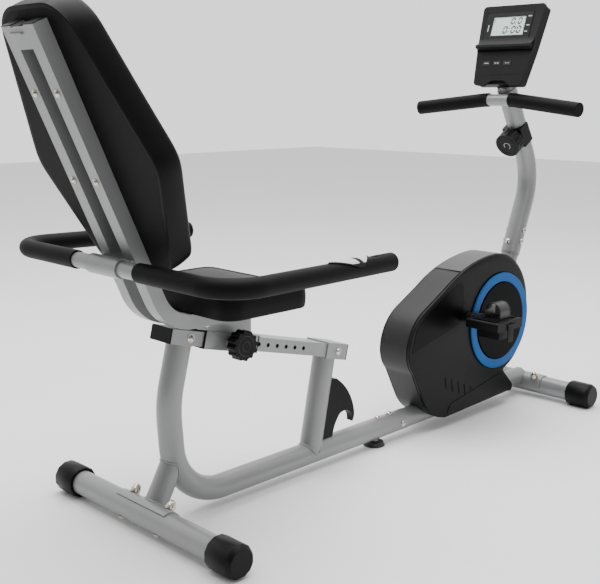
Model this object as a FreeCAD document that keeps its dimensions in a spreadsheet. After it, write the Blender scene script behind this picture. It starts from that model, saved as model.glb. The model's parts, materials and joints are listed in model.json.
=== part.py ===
import FreeCAD, Part
import math
import os
from FreeCAD import Placement, Rotation, Vector

# A recumbent exercise bike with a sliding seat, magnetic resistance and a console.
# Bike coordinates: X points forward from the rear stabiliser's axis, Y to the rider's
# left, Z up from the floor, in millimetres. Every sub-part's Placement then moves it
# back by origin_x, so that the origin lies on the floor under the middle of the bike.

X_AXIS = Vector(1, 0, 0)
Y_AXIS = Vector(0, 1, 0)
Z_AXIS = Vector(0, 0, 1)

doc = FreeCAD.newDocument("recumbent_bike")
sheet = doc.addObject("Spreadsheet::Sheet", "dims")

DIMENSIONS = [
    ("origin_x", 531.45, "rear stabiliser axis to the middle of the bike"),
    ("tube_od", 48.0, "main frame tube, outside diameter"),
    ("tube_wall", 2.0, "main frame tube, wall"),
    ("front_tube_od", 46.0, "front frame tube, outside diameter"),
    ("link_od", 44.5, "rear link tube, outside diameter"),
    ("beam_rear_z", 32.5, "beam axis height under the rear upright"),
    ("beam_slope", 0.0101, "rise of the beam for each mm forward"),
    ("beam_end_x", 742.0, "joint between the rear and front frame tubes"),
    ("stab_z", 30.4, "stabiliser axis height"),
    ("rear_stab_length", 547.0, "rear stabiliser over its caps"),
    ("front_stab_x", 1239.9, "front stabiliser axis"),
    ("front_stab_length", 435.0, "front stabiliser over its caps"),
    ("cap_length", 64.0, "stabiliser cap, length"),
    ("cap_radius", 31.47, "stabiliser cap, out to its corners"),
    ("rail_length", 473.0, "seat rail, length"),
    ("rail_width", 60.0, "seat rail, width"),
    ("rail_height", 28.0, "seat rail, height"),
    ("rail_wall", 2.0, "seat rail, wall"),
    ("rail_angle", 14.0, "slope of the seat rail, degrees"),
    ("hole_pitch", 25.25, "pitch of the seat rail's holes"),
    ("slider_length", 132.0, "seat slider, length"),
    ("slider_gap", 1.5, "room for the bushes round the rail"),
    ("slider_wall", 2.0, "seat slider, wall"),
    ("back_angle", 24.0, "recline of the back tubes, degrees"),
    ("back_tube_width", 29.0, "back tube, width across the bike"),
    ("back_tube_depth", 27.0, "back tube, depth"),
    ("back_tube_wall", 1.8, "back tube, wall"),
    ("back_tube_y", 34.0, "back tube, middle from the bike's middle"),
    ("bar_od", 28.6, "armrest and handlebar tube, outside diameter"),
    ("bar_wall", 1.8, "armrest and handlebar tube, wall"),
    ("foam_od", 34.0, "foam grip, outside diameter"),
    ("seat_length", 202.0, "seat cushion, front to back"),
    ("seat_width", 302.0, "seat cushion, side to side"),
    ("seat_thick", 50.0, "seat cushion, thickness with its board"),
    ("back_thick", 56.0, "back cushion, thickness with its board"),
    ("board_thick", 9.0, "plywood board in each cushion"),
    ("crank_x", 1059.5, "crank axle"),
    ("crank_z", 233.8, "crank axle height"),
    ("crank_length", 143.0, "crank axle to pedal axle"),
    ("ring_radius", 121.8, "trim ring, outside radius"),
    ("ring_inner", 99.0, "trim ring, inside radius"),
    ("house_half", 45.0, "housing, half width"),
    ("house_wall", 2.4, "housing, wall"),
    ("lid_depth", 8.0, "housing right cover, depth of its rim"),
    ("pulley_radius", 88.0, "drive pulley"),
    ("pinion_radius", 14.0, "flywheel pulley"),
    ("wheel_x", 806.0, "flywheel axle"),
    ("wheel_z", 176.0, "flywheel axle height"),
    ("wheel_radius", 72.0, "flywheel"),
    ("pedal_length", 100.0, "pedal, along the foot"),
    ("pedal_width", 90.0, "pedal, across the foot"),
    ("console_tilt", 19.0, "tilt of the console's face, degrees"),
    ("knob_radius", 29.0, "seat pin knob"),
    ("dial_radius", 32.0, "resistance dial"),
    ("fit_gap", 0.3, "clearance between moving neighbours"),
]
for row, (alias, value, note) in enumerate(DIMENSIONS, start=1):
    sheet.set("A%d" % row, note)
    sheet.set("B%d" % row, str(value))
    sheet.setAlias("B%d" % row, alias)
doc.recompute()


def dim(alias):
    return float(getattr(sheet, alias))


PARTS = []


def bind(thing, **sizes):
    """Sets sizes: text is an expression on the sheet, anything else a plain value."""
    for size, value in sizes.items():
        if isinstance(value, str):
            thing.setExpression(size, value)
        else:
            setattr(thing, size, value)
    return thing


def turn_to(direction):
    return Rotation(Z_AXIS, Vector(*direction))


def cylinder(name, start, direction, **sizes):
    """A cylinder that starts at a point and runs along a direction."""
    thing = doc.addObject("Part::Cylinder", name)
    thing.Placement = Placement(Vector(*start), turn_to(direction))
    return bind(thing, **sizes)


def cone(name, start, direction, **sizes):
    thing = doc.addObject("Part::Cone", name)
    thing.Placement = Placement(Vector(*start), turn_to(direction))
    return bind(thing, **sizes)


def block(name, corner, size, turn=None):
    """A box from its low corner; size is (length, width, height)."""
    thing = doc.addObject("Part::Box", name)
    thing.Placement = Placement(Vector(*corner), turn or Rotation())
    return bind(thing, Length=size[0], Width=size[1], Height=size[2])


def cut(name, base, tool):
    thing = doc.addObject("Part::Cut", name)
    thing.Base = base
    thing.Tool = tool
    return thing


def cut_all(name, base, tools):
    for number, tool in enumerate(tools):
        base = cut("%s_%d" % (name, number), base, tool)
    return base


def fuse(name, things):
    thing = doc.addObject("Part::MultiFuse", name)
    thing.Shapes = things
    return thing


def common(name, things):
    thing = doc.addObject("Part::MultiCommon", name)
    thing.Shapes = things
    return thing


def bundle(name, things):
    """Separate solids that share one node."""
    thing = doc.addObject("Part::Compound", name)
    thing.Links = things
    return thing


def mirrored(name, source):
    """The same piece on the other side of the bike."""
    thing = doc.addObject("Part::Mirroring", name)
    thing.Source = source
    thing.Base = Vector(0, 0, 0)
    thing.Normal = Y_AXIS
    return thing


def free_shape(name, shape):
    thing = doc.addObject("Part::Feature", name)
    thing.Shape = shape
    return thing


def keep(label, thing):
    """Names a finished sub-part and moves it from bike coordinates to the part's frame."""
    thing.Label = label
    shift = Placement(Vector(-dim("origin_x"), 0, 0), Rotation())
    thing.Placement = shift.multiply(thing.Placement)
    PARTS.append(thing)
    return thing


def rounded(points, closed=True):
    """Lines and arcs through (u, v, radius) corners, as sketch geometry."""
    count = len(points)
    flat = [Vector(p[0], p[1], 0) for p in points]
    starts, ends, arcs = [], [], []
    for i, p in enumerate(points):
        radius = p[2] if len(p) > 2 else 0
        inner = closed or 0 < i < count - 1
        if not radius or not inner:
            starts.append(flat[i])
            ends.append(flat[i])
            arcs.append(None)
            continue
        before = (flat[i - 1] - flat[i]).normalize()
        after = (flat[(i + 1) % count] - flat[i]).normalize()
        half = before.getAngle(after) / 2
        reach = radius / math.tan(half)
        middle = flat[i] + (before + after).normalize() * (radius / math.sin(half))
        first = flat[i] + before * reach
        last = flat[i] + after * reach
        top = middle + (flat[i] - middle).normalize() * radius
        starts.append(first)
        ends.append(last)
        arcs.append(Part.Arc(first, top, last))
    edges = []
    for i in range(count):
        if arcs[i]:
            edges.append(arcs[i])
        if i == count - 1 and not closed:
            break
        follow = starts[(i + 1) % count]
        if ends[i].distanceToPoint(follow) > 1e-6:
            edges.append(Part.LineSegment(ends[i], follow))
    return edges


def slab(name, loops, low_y, thickness):
    """A body padded along Y from low_y, from outlines drawn in X and Z."""
    body = doc.addObject("PartDesign::Body", name)
    sketch = body.newObject("Sketcher::SketchObject", name + "_outline")
    plane = next(f for f in body.Origin.OriginFeatures if f.Role == "XZ_Plane")
    sketch.AttachmentSupport = [(plane, "")]
    sketch.MapMode = "FlatFace"
    sketch.AttachmentOffset = Placement(Vector(0, 0, -low_y), Rotation())
    for loop in loops:
        for edge in loop:
            sketch.addGeometry(edge, False)
    pad = body.newObject("PartDesign::Pad", name + "_pad")
    pad.Profile = (sketch, [])
    pad.Reversed = True
    bind(pad, Length=thickness)
    return body


def flat_slab(name, loops, low_z, thickness):
    """A body padded upwards from low_z, from outlines drawn in X and Y."""
    body = doc.addObject("PartDesign::Body", name)
    sketch = body.newObject("Sketcher::SketchObject", name + "_outline")
    plane = next(f for f in body.Origin.OriginFeatures if f.Role == "XY_Plane")
    sketch.AttachmentSupport = [(plane, "")]
    sketch.MapMode = "FlatFace"
    sketch.AttachmentOffset = Placement(Vector(0, 0, low_z), Rotation())
    for loop in loops:
        for edge in loop:
            sketch.addGeometry(edge, False)
    pad = body.newObject("PartDesign::Pad", name + "_pad")
    pad.Profile = (sketch, [])
    bind(pad, Length=thickness)
    return body


def route(name, corners):
    """A path of straight runs and tangent arcs through (point, radius) corners."""
    points = [Vector(*c[0]) for c in corners]
    edges, last = [], points[0]
    for i in range(1, len(points) - 1):
        before = (points[i - 1] - points[i]).normalize()
        after = (points[i + 1] - points[i]).normalize()
        half = before.getAngle(after) / 2
        radius = corners[i][1]
        reach = radius / math.tan(half)
        middle = points[i] + (before + after).normalize() * (radius / math.sin(half))
        first = points[i] + before * reach
        top = middle + (points[i] - middle).normalize() * radius
        edges.append(Part.LineSegment(last, first).toShape())
        last = points[i] + after * reach
        edges.append(Part.Arc(first, top, last).toShape())
    edges.append(Part.LineSegment(last, points[-1]).toShape())
    return free_shape(name, Part.Wire(edges))


def bar(name, path, radius):
    """A round bar along a path; its radius is an expression on the sheet."""
    wire = path.Shape
    start = wire.Edges[0].valueAt(wire.Edges[0].FirstParameter)
    heading = wire.Edges[0].tangentAt(wire.Edges[0].FirstParameter)
    section = doc.addObject("Part::Circle", name + "_section")
    section.Placement = Placement(start, turn_to(heading))
    bind(section, Radius=radius)
    sweep = doc.addObject("Part::Sweep", name)
    sweep.Sections = [section]
    sweep.Spine = (path, ["Edge%d" % (i + 1) for i in range(len(wire.Edges))])
    sweep.Solid = True
    sweep.Frenet = False
    return sweep


def bolts(name, places, shank, length, head):
    """Dome-headed bolts with washers; places are (point under the head, direction in)."""
    solids = []
    for number, (point, inward) in enumerate(places):
        tag = "%s_%d" % (name, number)
        inward = Vector(*inward).normalize()
        point = Vector(*point)
        out = inward * -1
        pin = cylinder(tag + "_shank", point, inward, Radius=shank, Height=length)
        washer = cylinder(tag + "_washer", point, out, Radius=head * 1.15, Height=1.4)
        dome = doc.addObject("Part::Sphere", tag + "_dome")
        dome_radius = head * 1.12
        dome.Placement = Placement(point + out * (1.4 - dome_radius * 0.45), turn_to(out))
        bind(dome, Radius=dome_radius, Angle1=0.0)
        slice_low = cylinder(tag + "_slice", point + out * 1.0, out, Radius=head, Height=head)
        cap = common(tag + "_cap", [dome, slice_low])
        solids.append(fuse(tag, [pin, washer, cap]))
    return solids


# Rail frame: x along the rail from its rear end, y across, z up from its middle.
RAIL = Placement(Vector(50.1, 0, 365.7), Rotation(Y_AXIS, dim("rail_angle")))
RAIL_LOW = -dim("rail_height") / 2


def on_rail(x, y, z):
    return RAIL.multVec(Vector(x, y, z))


def rail_block(name, corner, size):
    return block(name, tuple(on_rail(*corner)), size, RAIL.Rotation)


def rail_direction(x, y, z):
    return RAIL.Rotation.multVec(Vector(x, y, z))


def rail_cylinder(name, start, direction, **sizes):
    return cylinder(name, tuple(on_rail(*start)), tuple(rail_direction(*direction)), **sizes)


# Back frame: x forward from the back tubes' rear faces, z up along the tubes from their tops.
BACK = Placement(Vector(-206.0, 0, 895.6), Rotation(Y_AXIS, -dim("back_angle")))


def on_back(x, y, z):
    return BACK.multVec(Vector(x, y, z))


def back_direction(x, y, z):
    return BACK.Rotation.multVec(Vector(x, y, z))


def beam_z(x):
    """Height of the beam's axis."""
    return dim("beam_rear_z") + dim("beam_slope") * (x - 73.0)


BEAM_DIRECTION = Vector(1, 0, dim("beam_slope")).normalize()
HALF_TUBE = dim("tube_od") / 2
STAB_Z = dim("stab_z")
FRONT_X = dim("front_stab_x")

# ---------------------------------------------------------------- frame tubes

upright_path = route("upright_path", [
    ((92.0, 0, 358.0), 0),
    ((58.8, 0, 229.4), 230),
    ((73.0, 0, beam_z(73.0)), 118),
    ((dim("beam_end_x"), 0, beam_z(dim("beam_end_x"))), 0),
])
upright_outer = bar("upright_outer", upright_path, "dims.tube_od / 2")
upright_inner = bar("upright_inner", upright_path, "dims.tube_od / 2 - dims.tube_wall")
rail_envelope = rail_block("rail_envelope", (-40, -60, RAIL_LOW - 0.05), (600, 120, 90))
foot_x = 641.0
foot_hole = cylinder("foot_hole", (foot_x, 0, 0), (0, 0, 1), Radius=5.4, Height=25.0)
beam_bolt_holes = [
    cylinder("beam_bolt_hole_%d" % i, (x, 0, beam_z(x)), (0, 0, 1), Radius=4.1, Height=30.0)
    for i, x in enumerate((650.7, 691.3))
]
side_bolt_x = 716.0
side_bolt_hole = cylinder(
    "side_bolt_hole", (side_bolt_x, -30, beam_z(side_bolt_x)), (0, 1, 0), Radius=4.1, Height=60.0)
weld_nut = cut(
    "weld_nut",
    cylinder("weld_nut_body", (foot_x, 0, 10.2), (0, 0, 1), Radius=9.0, Height=6.5),
    cylinder("weld_nut_bore", (foot_x, 0, 5), (0, 0, 1), Radius=5.06, Height=20.0))
rear_tube = cut("rear_tube_bore", upright_outer, upright_inner)
rear_tube = cut("rear_tube_top", rear_tube, rail_envelope)
rear_tube = fuse("rear_tube_nut", [
    cut_all("rear_tube_holes", rear_tube, [foot_hole] + beam_bolt_holes + [side_bolt_hole]),
    cut("weld_nut_trim", weld_nut, upright_inner)])
keep("rear_main_tube", rear_tube)

# Front frame tube with the flywheel's bracket plates welded on.
spigot_start = dim("beam_end_x") - 110
front_end_x = FRONT_X - 6
spigot = cylinder(
    "spigot", (spigot_start, 0, beam_z(spigot_start)), tuple(BEAM_DIRECTION),
    Radius="dims.tube_od / 2 - dims.tube_wall - 0.1", Height=130.0)
front_body = cylinder(
    "front_body", (dim("beam_end_x") + 0.5, 0, beam_z(dim("beam_end_x") + 0.5)),
    tuple(BEAM_DIRECTION), Radius="dims.front_tube_od / 2",
    Height=front_end_x - dim("beam_end_x"))
front_bore = cylinder(
    "front_bore", (spigot_start - 5, 0, beam_z(spigot_start - 5)), tuple(BEAM_DIRECTION),
    Radius="dims.front_tube_od / 2 - dims.tube_wall - 1.0", Height=720.0)
front_saddle_envelope = cylinder(
    "front_saddle_envelope", (FRONT_X, -150, STAB_Z), (0, 1, 0), Radius=27.1, Height=300.0)
wheel_x, wheel_z = dim("wheel_x"), dim("wheel_z")
pivot_x, pivot_z = wheel_x + 78.0, wheel_z + 50.0
bracket_outline = [rounded([
    (wheel_x + 10, 47.0, 2), (wheel_x + 60, 47.0, 2),
    (pivot_x + 13, pivot_z + 2, 12), (pivot_x - 4, pivot_z + 16, 12),
    (wheel_x - 16, wheel_z + 14, 14)])]
wheel_brackets = [
    slab("wheel_bracket_%s" % side, bracket_outline, low_y, 3.0)
    for side, low_y in (("right", -21.0), ("left", 18.0))
]
bracket_axle_hole = cylinder(
    "bracket_axle_hole", (wheel_x, -60, wheel_z), (0, 1, 0), Radius=5.05, Height=120.0)
beam_bore = cylinder(
    "beam_bore", (600, 0, beam_z(600)), tuple(BEAM_DIRECTION), Radius=22.5, Height=620.0)
bracket_pin_hole = cylinder(
    "bracket_pin_hole", (pivot_x, -60, pivot_z), (0, 1, 0), Radius=4.05, Height=120.0)
bracket_pair = cut_all(
    "bracket_pair", fuse("bracket_plates", wheel_brackets),
    [bracket_axle_hole, bracket_pin_hole, beam_bore])
front_tube = cut_all(
    "front_tube", fuse("front_tube_solid", [spigot, front_body]),
    [front_bore, front_saddle_envelope, foot_hole] + beam_bolt_holes + [side_bolt_hole])
keep("front_main_tube", fuse("front_tube_welded", [front_tube, bracket_pair]))

# Support post from the beam up to the seat rail, with the bracket that holds the rail.
post_low = Vector(431.0, 0, 38.0)
post_top = Vector(474.5, 0, 249.0)
post_heading = post_top - post_low
post_outer = cylinder(
    "post_outer", tuple(post_low), tuple(post_heading), Radius="dims.tube_od / 2", Height=230.0)
post_inner = cylinder(
    "post_inner", tuple(post_low), tuple(post_heading),
    Radius="dims.tube_od / 2 - dims.tube_wall", Height=230.0)
beam_envelope = cylinder(
    "beam_envelope", (300, 0, beam_z(300)), tuple(BEAM_DIRECTION), Radius=HALF_TUBE + 0.02,
    Height=300.0)
shoe_outer = rail_block("shoe_outer", (413, -33, RAIL_LOW - 3.0), (60, 66, 34))
shoe_inner = rail_block("shoe_inner", (400, -30.1, RAIL_LOW - 0.05), (90, 60.2, 28.1))
shoe_space = rail_block("shoe_space", (380, -60, RAIL_LOW - 3.0), (140, 120, 90))
post_tube = cut_all("post_tube", post_outer, [post_inner, beam_envelope, shoe_space])
shoe_bolt = rail_cylinder("shoe_bolt_hole", (446.5, -50, 0), (0, 1, 0), Radius=4.1, Height=100.0)
keep("support_post", fuse("support_welded", [
    post_tube, cut_all("shoe", shoe_outer, [shoe_inner, shoe_bolt])]))

# Rear link tube and the saddle plates that hold the stabilisers.
stab_envelope_rear = cylinder(
    "stab_envelope_rear", (0, -150, STAB_Z), (0, 1, 0), Radius=27.1, Height=300.0)
link_outer = cylinder(
    "link_outer", (64.7, 0, 113.9), (-0.489, 0, -0.873), Radius="dims.link_od / 2", Height=94.0)
link_inner = cylinder(
    "link_inner", (64.7, 0, 113.9), (-0.489, 0, -0.873),
    Radius="dims.link_od / 2 - dims.tube_wall", Height=100.0)
upright_solid = bar("upright_solid", upright_path, "dims.tube_od / 2 + 0.02")
keep("rear_link_tube", cut_all(
    "link", link_outer, [link_inner, stab_envelope_rear, upright_solid]))


def saddle(name, axis_x, middle_angle):
    """A plate bent round the stabiliser, with two bolt holes on its middle line."""
    shell = cut(
        name + "_shell",
        cylinder(name + "_outer", (axis_x, -75, STAB_Z), (0, 1, 0), Radius=27.0, Height=150.0),
        cylinder(name + "_inner", (axis_x, -80, STAB_Z), (0, 1, 0), Radius=24.05, Height=160.0))
    spread = math.radians(62)
    fan = [(axis_x, STAB_Z)]
    for step in (-1.0, -0.5, 0.0, 0.5, 1.0):
        angle = math.radians(middle_angle) + step * spread
        fan.append((axis_x + 45 * math.cos(angle), STAB_Z + 45 * math.sin(angle)))
    wedge = slab(name + "_wedge", [rounded([(u, v, 0) for u, v in fan])], -75.0, 150.0)
    plate = common(name + "_plate", [shell, wedge])
    heading = Vector(math.cos(math.radians(middle_angle)), 0, math.sin(math.radians(middle_angle)))
    holes = [
        cylinder("%s_hole_%d" % (name, i), (axis_x, y, STAB_Z), tuple(heading), Radius=4.2,
                 Height=50.0)
        for i, y in enumerate((-54.5, 54.5))
    ]
    return cut_all(name, plate, holes)


def stabilizer(name, axis_x, length, angle):
    tube = cut(
        name + "_tube",
        cylinder(name + "_outer", (axis_x, -length / 2 + 5, STAB_Z), (0, 1, 0),
                 Radius="dims.tube_od / 2", Height=length - 10),
        cylinder(name + "_inner", (axis_x, -length / 2, STAB_Z), (0, 1, 0),
                 Radius="dims.tube_od / 2 - dims.tube_wall", Height=length + 10))
    heading = Vector(math.cos(math.radians(angle)), 0, math.sin(math.radians(angle)))
    start = Vector(axis_x, 0, STAB_Z) - heading * 40
    holes = [
        cylinder("%s_hole_%d" % (name, i), (start.x, y, start.z), tuple(heading), Radius=4.2,
                 Height=80.0)
        for i, y in enumerate((-54.5, 54.5))
    ]
    return cut_all(name, tube, holes)


def stabilizer_cap(name, axis_x, length, side):
    """A twelve-sided cap with a chamfered end and a blind bore for the tube."""
    cap_length, corner = dim("cap_length"), dim("cap_radius")
    inner_y = side * (length / 2 - cap_length)
    shape = []
    for y, radius in ((inner_y, corner - 1.5), (inner_y + side * 3, corner),
                      (side * (length / 2 - 8), corner), (side * length / 2, corner - 6)):
        angles = [math.radians(30 * k + 15) for k in range(12)]
        ring = [Vector(axis_x + radius * math.cos(a), y, STAB_Z + radius * math.sin(a))
                for a in angles]
        shape.append(Part.makePolygon(ring + ring[:1]))
    solid = free_shape(name + "_body", Part.makeLoft(shape, True, True))
    bore = cylinder(
        name + "_bore", (axis_x, inner_y - side * 1, STAB_Z), (0, side, 0),
        Radius="dims.tube_od / 2 + 0.05", Height="dims.cap_length - 3.9")
    return cut(name, solid, bore)


REAR_ANGLE, FRONT_ANGLE = 55.0, 125.0
keep("stabilizer_saddles", bundle("stabilizer_saddles", [
    saddle("rear_saddle", 0.0, REAR_ANGLE), saddle("front_saddle", FRONT_X, FRONT_ANGLE)]))
keep("rear_stabilizer", stabilizer("rear_stab", 0.0, dim("rear_stab_length"), REAR_ANGLE))
keep("front_stabilizer", stabilizer("front_stab", FRONT_X, dim("front_stab_length"), FRONT_ANGLE))
keep("stabilizer_caps", bundle("stabilizer_caps", [
    stabilizer_cap("cap_%s_%s" % (end, tag), x, length, side)
    for end, x, length in (("rear", 0.0, dim("rear_stab_length")),
                           ("front", FRONT_X, dim("front_stab_length")))
    for tag, side in (("right", -1), ("left", 1))]))


def stabilizer_bolt(name, axis_x, angle, y):
    """A carriage bolt through the stabiliser with a dome nut and washer on the saddle."""
    out = Vector(math.cos(math.radians(angle)), 0, math.sin(math.radians(angle)))
    centre = Vector(axis_x, y, STAB_Z)
    top = centre + out * 27.05
    low = centre - out * 24.05
    nut = bolts(name + "_nut", [(tuple(top), tuple(out * -1))], 4.0, 52.5, 8.2)[0]
    dome = doc.addObject("Part::Sphere", name + "_head_ball")
    dome.Placement = Placement(low + out * 6.5, Rotation())
    bind(dome, Radius=11.0)
    keeper = cylinder(name + "_head_space", tuple(low), tuple(out * -1), Radius=10.0, Height=5.0)
    return fuse(name, [nut, common(name + "_head", [dome, keeper])])


keep("stabilizer_bolts", bundle("stabilizer_bolts", [
    stabilizer_bolt("stab_bolt_%d_%d" % (x > 100, y > 0), x, angle, y)
    for x, angle in ((0.0, REAR_ANGLE), (FRONT_X, FRONT_ANGLE)) for y in (-54.5, 54.5)]))

# ---------------------------------------------------------------- handlebar post

post_line = Vector(27.4, 0, 67.8).normalize()
joint = Vector(1165.5, 0, 388.9)
stub_low = joint - post_line * ((joint.z - 46.0) / post_line.z)
bar_post_path = route("bar_post_path", [
    (tuple(joint), 0),
    ((1245.0, 0, 586.0), 150),
    ((1119.0, 0, 806.0), 0),
])
post_tool = bar("bar_post_inner", bar_post_path, "dims.tube_od / 2 - dims.tube_wall")
post_holes = []
post_bolt_places = []
side_of_post = Y_AXIS
front_of_post = Vector(post_line.z, 0, -post_line.x)
for number, (along, heading) in enumerate((
        (62.0, side_of_post), (33.0, side_of_post), (25.0, front_of_post * -1))):
    centre = joint + post_line * along
    both = heading == side_of_post
    start = centre - heading * (30 if both else 0)
    post_holes.append(cylinder(
        "post_hole_%d" % number, tuple(start), tuple(heading), Radius=4.1,
        Height=60.0 if both else 30.0))
    outs = [heading, heading * -1] if both else [heading]
    for out in outs:
        post_bolt_places.append((tuple(centre + out * (HALF_TUBE + 0.05)), tuple(out * -1)))
dial_centre = Vector(1187.0, 0, 700.5)
dial_out = Vector(-0.838, 0, -0.546)
dial_hole = cylinder("dial_hole", tuple(dial_centre), tuple(dial_out), Radius=6.0, Height=40.0)
keep("handlebar_post", cut_all(
    "bar_post", bar("bar_post_outer", bar_post_path, "dims.tube_od / 2"),
    [post_tool] + post_holes + [dial_hole]))

stub_outer = cylinder(
    "stub_outer", tuple(stub_low), tuple(post_line),
    Radius="dims.tube_od / 2 - dims.tube_wall - 0.1",
    Height=(joint - stub_low).Length + 80)
stub_inner = cylinder(
    "stub_inner", tuple(stub_low), tuple(post_line),
    Radius="dims.tube_od / 2 - dims.tube_wall * 2 - 0.1", Height=520.0)
collar = cylinder(
    "stub_collar", tuple(joint - post_line * 3.2), tuple(post_line), Radius=23.2, Height=3.0)
front_envelope = cylinder(
    "front_envelope", (900, 0, beam_z(900)), tuple(BEAM_DIRECTION),
    Radius="dims.front_tube_od / 2 + 0.02", Height=330.0)
crank_x, crank_z = dim("crank_x"), dim("crank_z")
shell_outer = cylinder("shell_outer", (crank_x, -30, crank_z), (0, 1, 0), Radius=20.0, Height=60.0)
shell_bore = cylinder("shell_bore", (crank_x, -40, crank_z), (0, 1, 0), Radius=17.0, Height=80.0)
keep("crank_post_stub", cut_all(
    "stub", fuse("stub_solid", [
        cut("stub_tube", stub_outer, stub_inner),
        cut("stub_ring", collar, stub_inner), shell_outer]),
    [shell_bore, front_envelope] + post_holes))

# Front handlebar, welded on the rider's side of the post.
bar_x, bar_z = 1091.0, 778.0
grip_end = Vector(1070.4, 228.1, 757.5)
handle_path = route("handle_path", [
    ((grip_end.x, -grip_end.y, grip_end.z), 0),
    ((bar_x, -42.0, bar_z), 90),
    ((bar_x, 42.0, bar_z), 90),
    ((grip_end.x, grip_end.y, grip_end.z), 0),
])
bar_post_solid = bar("bar_post_solid", bar_post_path, "dims.tube_od / 2 + 0.02")
keep("handlebar_tube", cut_all("handlebar", cut(
    "handle_hollow", bar("handle_outer", handle_path, "dims.bar_od / 2"),
    bar("handle_inner", handle_path, "dims.bar_od / 2 - dims.bar_wall")), [bar_post_solid]))


def foam_on(name, path, radius, trim):
    """A foam sleeve with a closed end round a bar, kept where the trim box is."""
    sleeve = cut(
        name + "_sleeve", bar(name + "_skin", path, radius),
        bar(name + "_core", path, "dims.bar_od / 2 + 0.05"))
    return common(name, [sleeve, trim])


grip_trim = block("grip_trim", (900, 30.5, 600), (400, 300, 400))
grip_left = foam_on("grip_left", handle_path, "dims.foam_od / 2", grip_trim)
grip_heading = (grip_end - Vector(bar_x, 42.0, bar_z)).normalize()
grip_plug = cylinder(
    "grip_plug", tuple(grip_end), tuple(grip_heading),
    Radius="dims.foam_od / 2", Height=4.0)
grip_pair = [grip_left, grip_plug]
grip_left_whole = fuse("grip_left_whole", grip_pair)
keep("handlebar_grips", bundle("handlebar_grips", [
    grip_left_whole, mirrored("grip_right_whole", grip_left_whole)]))

# ---------------------------------------------------------------- resistance dial

dial_turn = turn_to(tuple(dial_out))
dial_frame = Placement(dial_centre, dial_turn)


def on_dial(x, y, z):
    return tuple(dial_frame.multVec(Vector(x, y, z)))


def dial_block(name, corner, size):
    return block(name, on_dial(*corner), size, dial_turn)


pod = dial_block("pod_box", (-26, -27, -4), (52, 54, 36))
pod_round = cylinder("pod_round", on_dial(0, 0, 28), tuple(dial_out), Radius=25.0, Height=8.0)
pod_bore = cylinder("pod_bore", on_dial(0, 0, -20), tuple(dial_out), Radius=5.2, Height=70.0)
keep("dial_bracket", cut_all(
    "dial_pod", fuse("pod_solid", [pod, pod_round]), [bar_post_solid, pod_bore]))
dial_grip = cylinder(
    "dial_grip", on_dial(0, 0, 36.5), tuple(dial_out), Radius="dims.dial_radius", Height=30.0)
dial_flutes = [
    cylinder("dial_flute_%d" % k, on_dial(35.5 * math.cos(math.radians(24 * k)),
                                          35.5 * math.sin(math.radians(24 * k)), 34),
             tuple(dial_out), Radius=5.2, Height=24.0)
    for k in range(15)
]
dial_stem = cylinder("dial_stem", on_dial(0, 0, 4), tuple(dial_out), Radius=5.15, Height=34.0)
keep("resistance_dial", fuse("dial_whole", [
    cut_all("dial_fluted", dial_grip, dial_flutes), dial_stem]))

# ---------------------------------------------------------------- console

tilt = dim("console_tilt")
CONSOLE = Placement(Vector(1073.0, 0, 813.8), Rotation(Y_AXIS, tilt))


def on_console(x, y, z):
    return tuple(CONSOLE.multVec(Vector(x, y, z)))


def console_slab(name, outline, low_x, thickness):
    """A plate across the bike: outline in (y, up the face), padded forward from low_x."""
    body = doc.addObject("PartDesign::Body", name)
    sketch = body.newObject("Sketcher::SketchObject", name + "_outline")
    plane = next(f for f in body.Origin.OriginFeatures if f.Role == "YZ_Plane")
    sketch.AttachmentSupport = [(plane, "")]
    sketch.MapMode = "FlatFace"
    sketch.AttachmentOffset = Placement(Vector(0, 0, low_x), Rotation())
    for loop in outline:
        for edge in loop:
            sketch.addGeometry(edge, False)
    pad = body.newObject("PartDesign::Pad", name + "_pad")
    pad.Profile = (sketch, [])
    bind(pad, Length=thickness)
    body.Placement = CONSOLE
    return body


console_outline = rounded([
    (-89.6, 204.0, 9), (89.6, 204.0, 9), (80.0, 92.0, 6), (68.0, 2.0, 8),
    (40.0, -2.0, 14), (18.0, 12.0, 10), (-18.0, 12.0, 10), (-40.0, -2.0, 14),
    (-68.0, 2.0, 8), (-80.0, 92.0, 6)])


def opening(middle_y, middle_z, half_y, half_z):
    """A nearly square-cornered opening in the console's face."""
    return rounded([
        (middle_y - half_y, middle_z - half_z, 0.5), (middle_y + half_y, middle_z - half_z, 0.5),
        (middle_y + half_y, middle_z + half_z, 0.5), (middle_y - half_y, middle_z + half_z, 0.5)])


glass_y, glass_z, glass_half_y, glass_half_z = 5.3, 150.8, 46.6, 23.8
keys_z, key_half_y, key_half_z = 56.0, 11.0, 6.0
key_places = (("left", 42.9), ("middle", 12.9), ("right", -17.1))
key_windows = [
    opening(y, keys_z, key_half_y + 0.3, key_half_z + 0.3) for _, y in key_places]
window = opening(glass_y, glass_z, glass_half_y + 0.3, glass_half_z + 0.3)
face = console_slab("console_face", [console_outline, window] + key_windows, 0.0, 6.0)
shelf = slab("console_shelf", [rounded([
    (0.2, 90.0, 0), (0.2, 122.0, 0), (-4.0, 106.0, 20), (-14.0, 99.0, 1.5),
    (-14.0, 92.5, 1.5)])], -78.0, 156.0)
shelf.Placement = CONSOLE
keep("console_front", fuse("console_front_solid", [face, shelf]))
back_case = console_slab("console_back_case", [rounded([
    (-87.6, 202.0, 8), (87.6, 202.0, 8), (78.0, 92.0, 6), (66.0, 4.0, 7),
    (-66.0, 4.0, 7), (-78.0, 92.0, 6)])], 6.05, 22.0)
back_room = console_slab("console_back_room", [rounded([
    (-84.6, 199.0, 6), (84.6, 199.0, 6), (75.0, 92.0, 4), (63.5, 15.0, 4),
    (-63.5, 15.0, 4), (-75.0, 92.0, 4)])], 6.0, 19.0)
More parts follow.
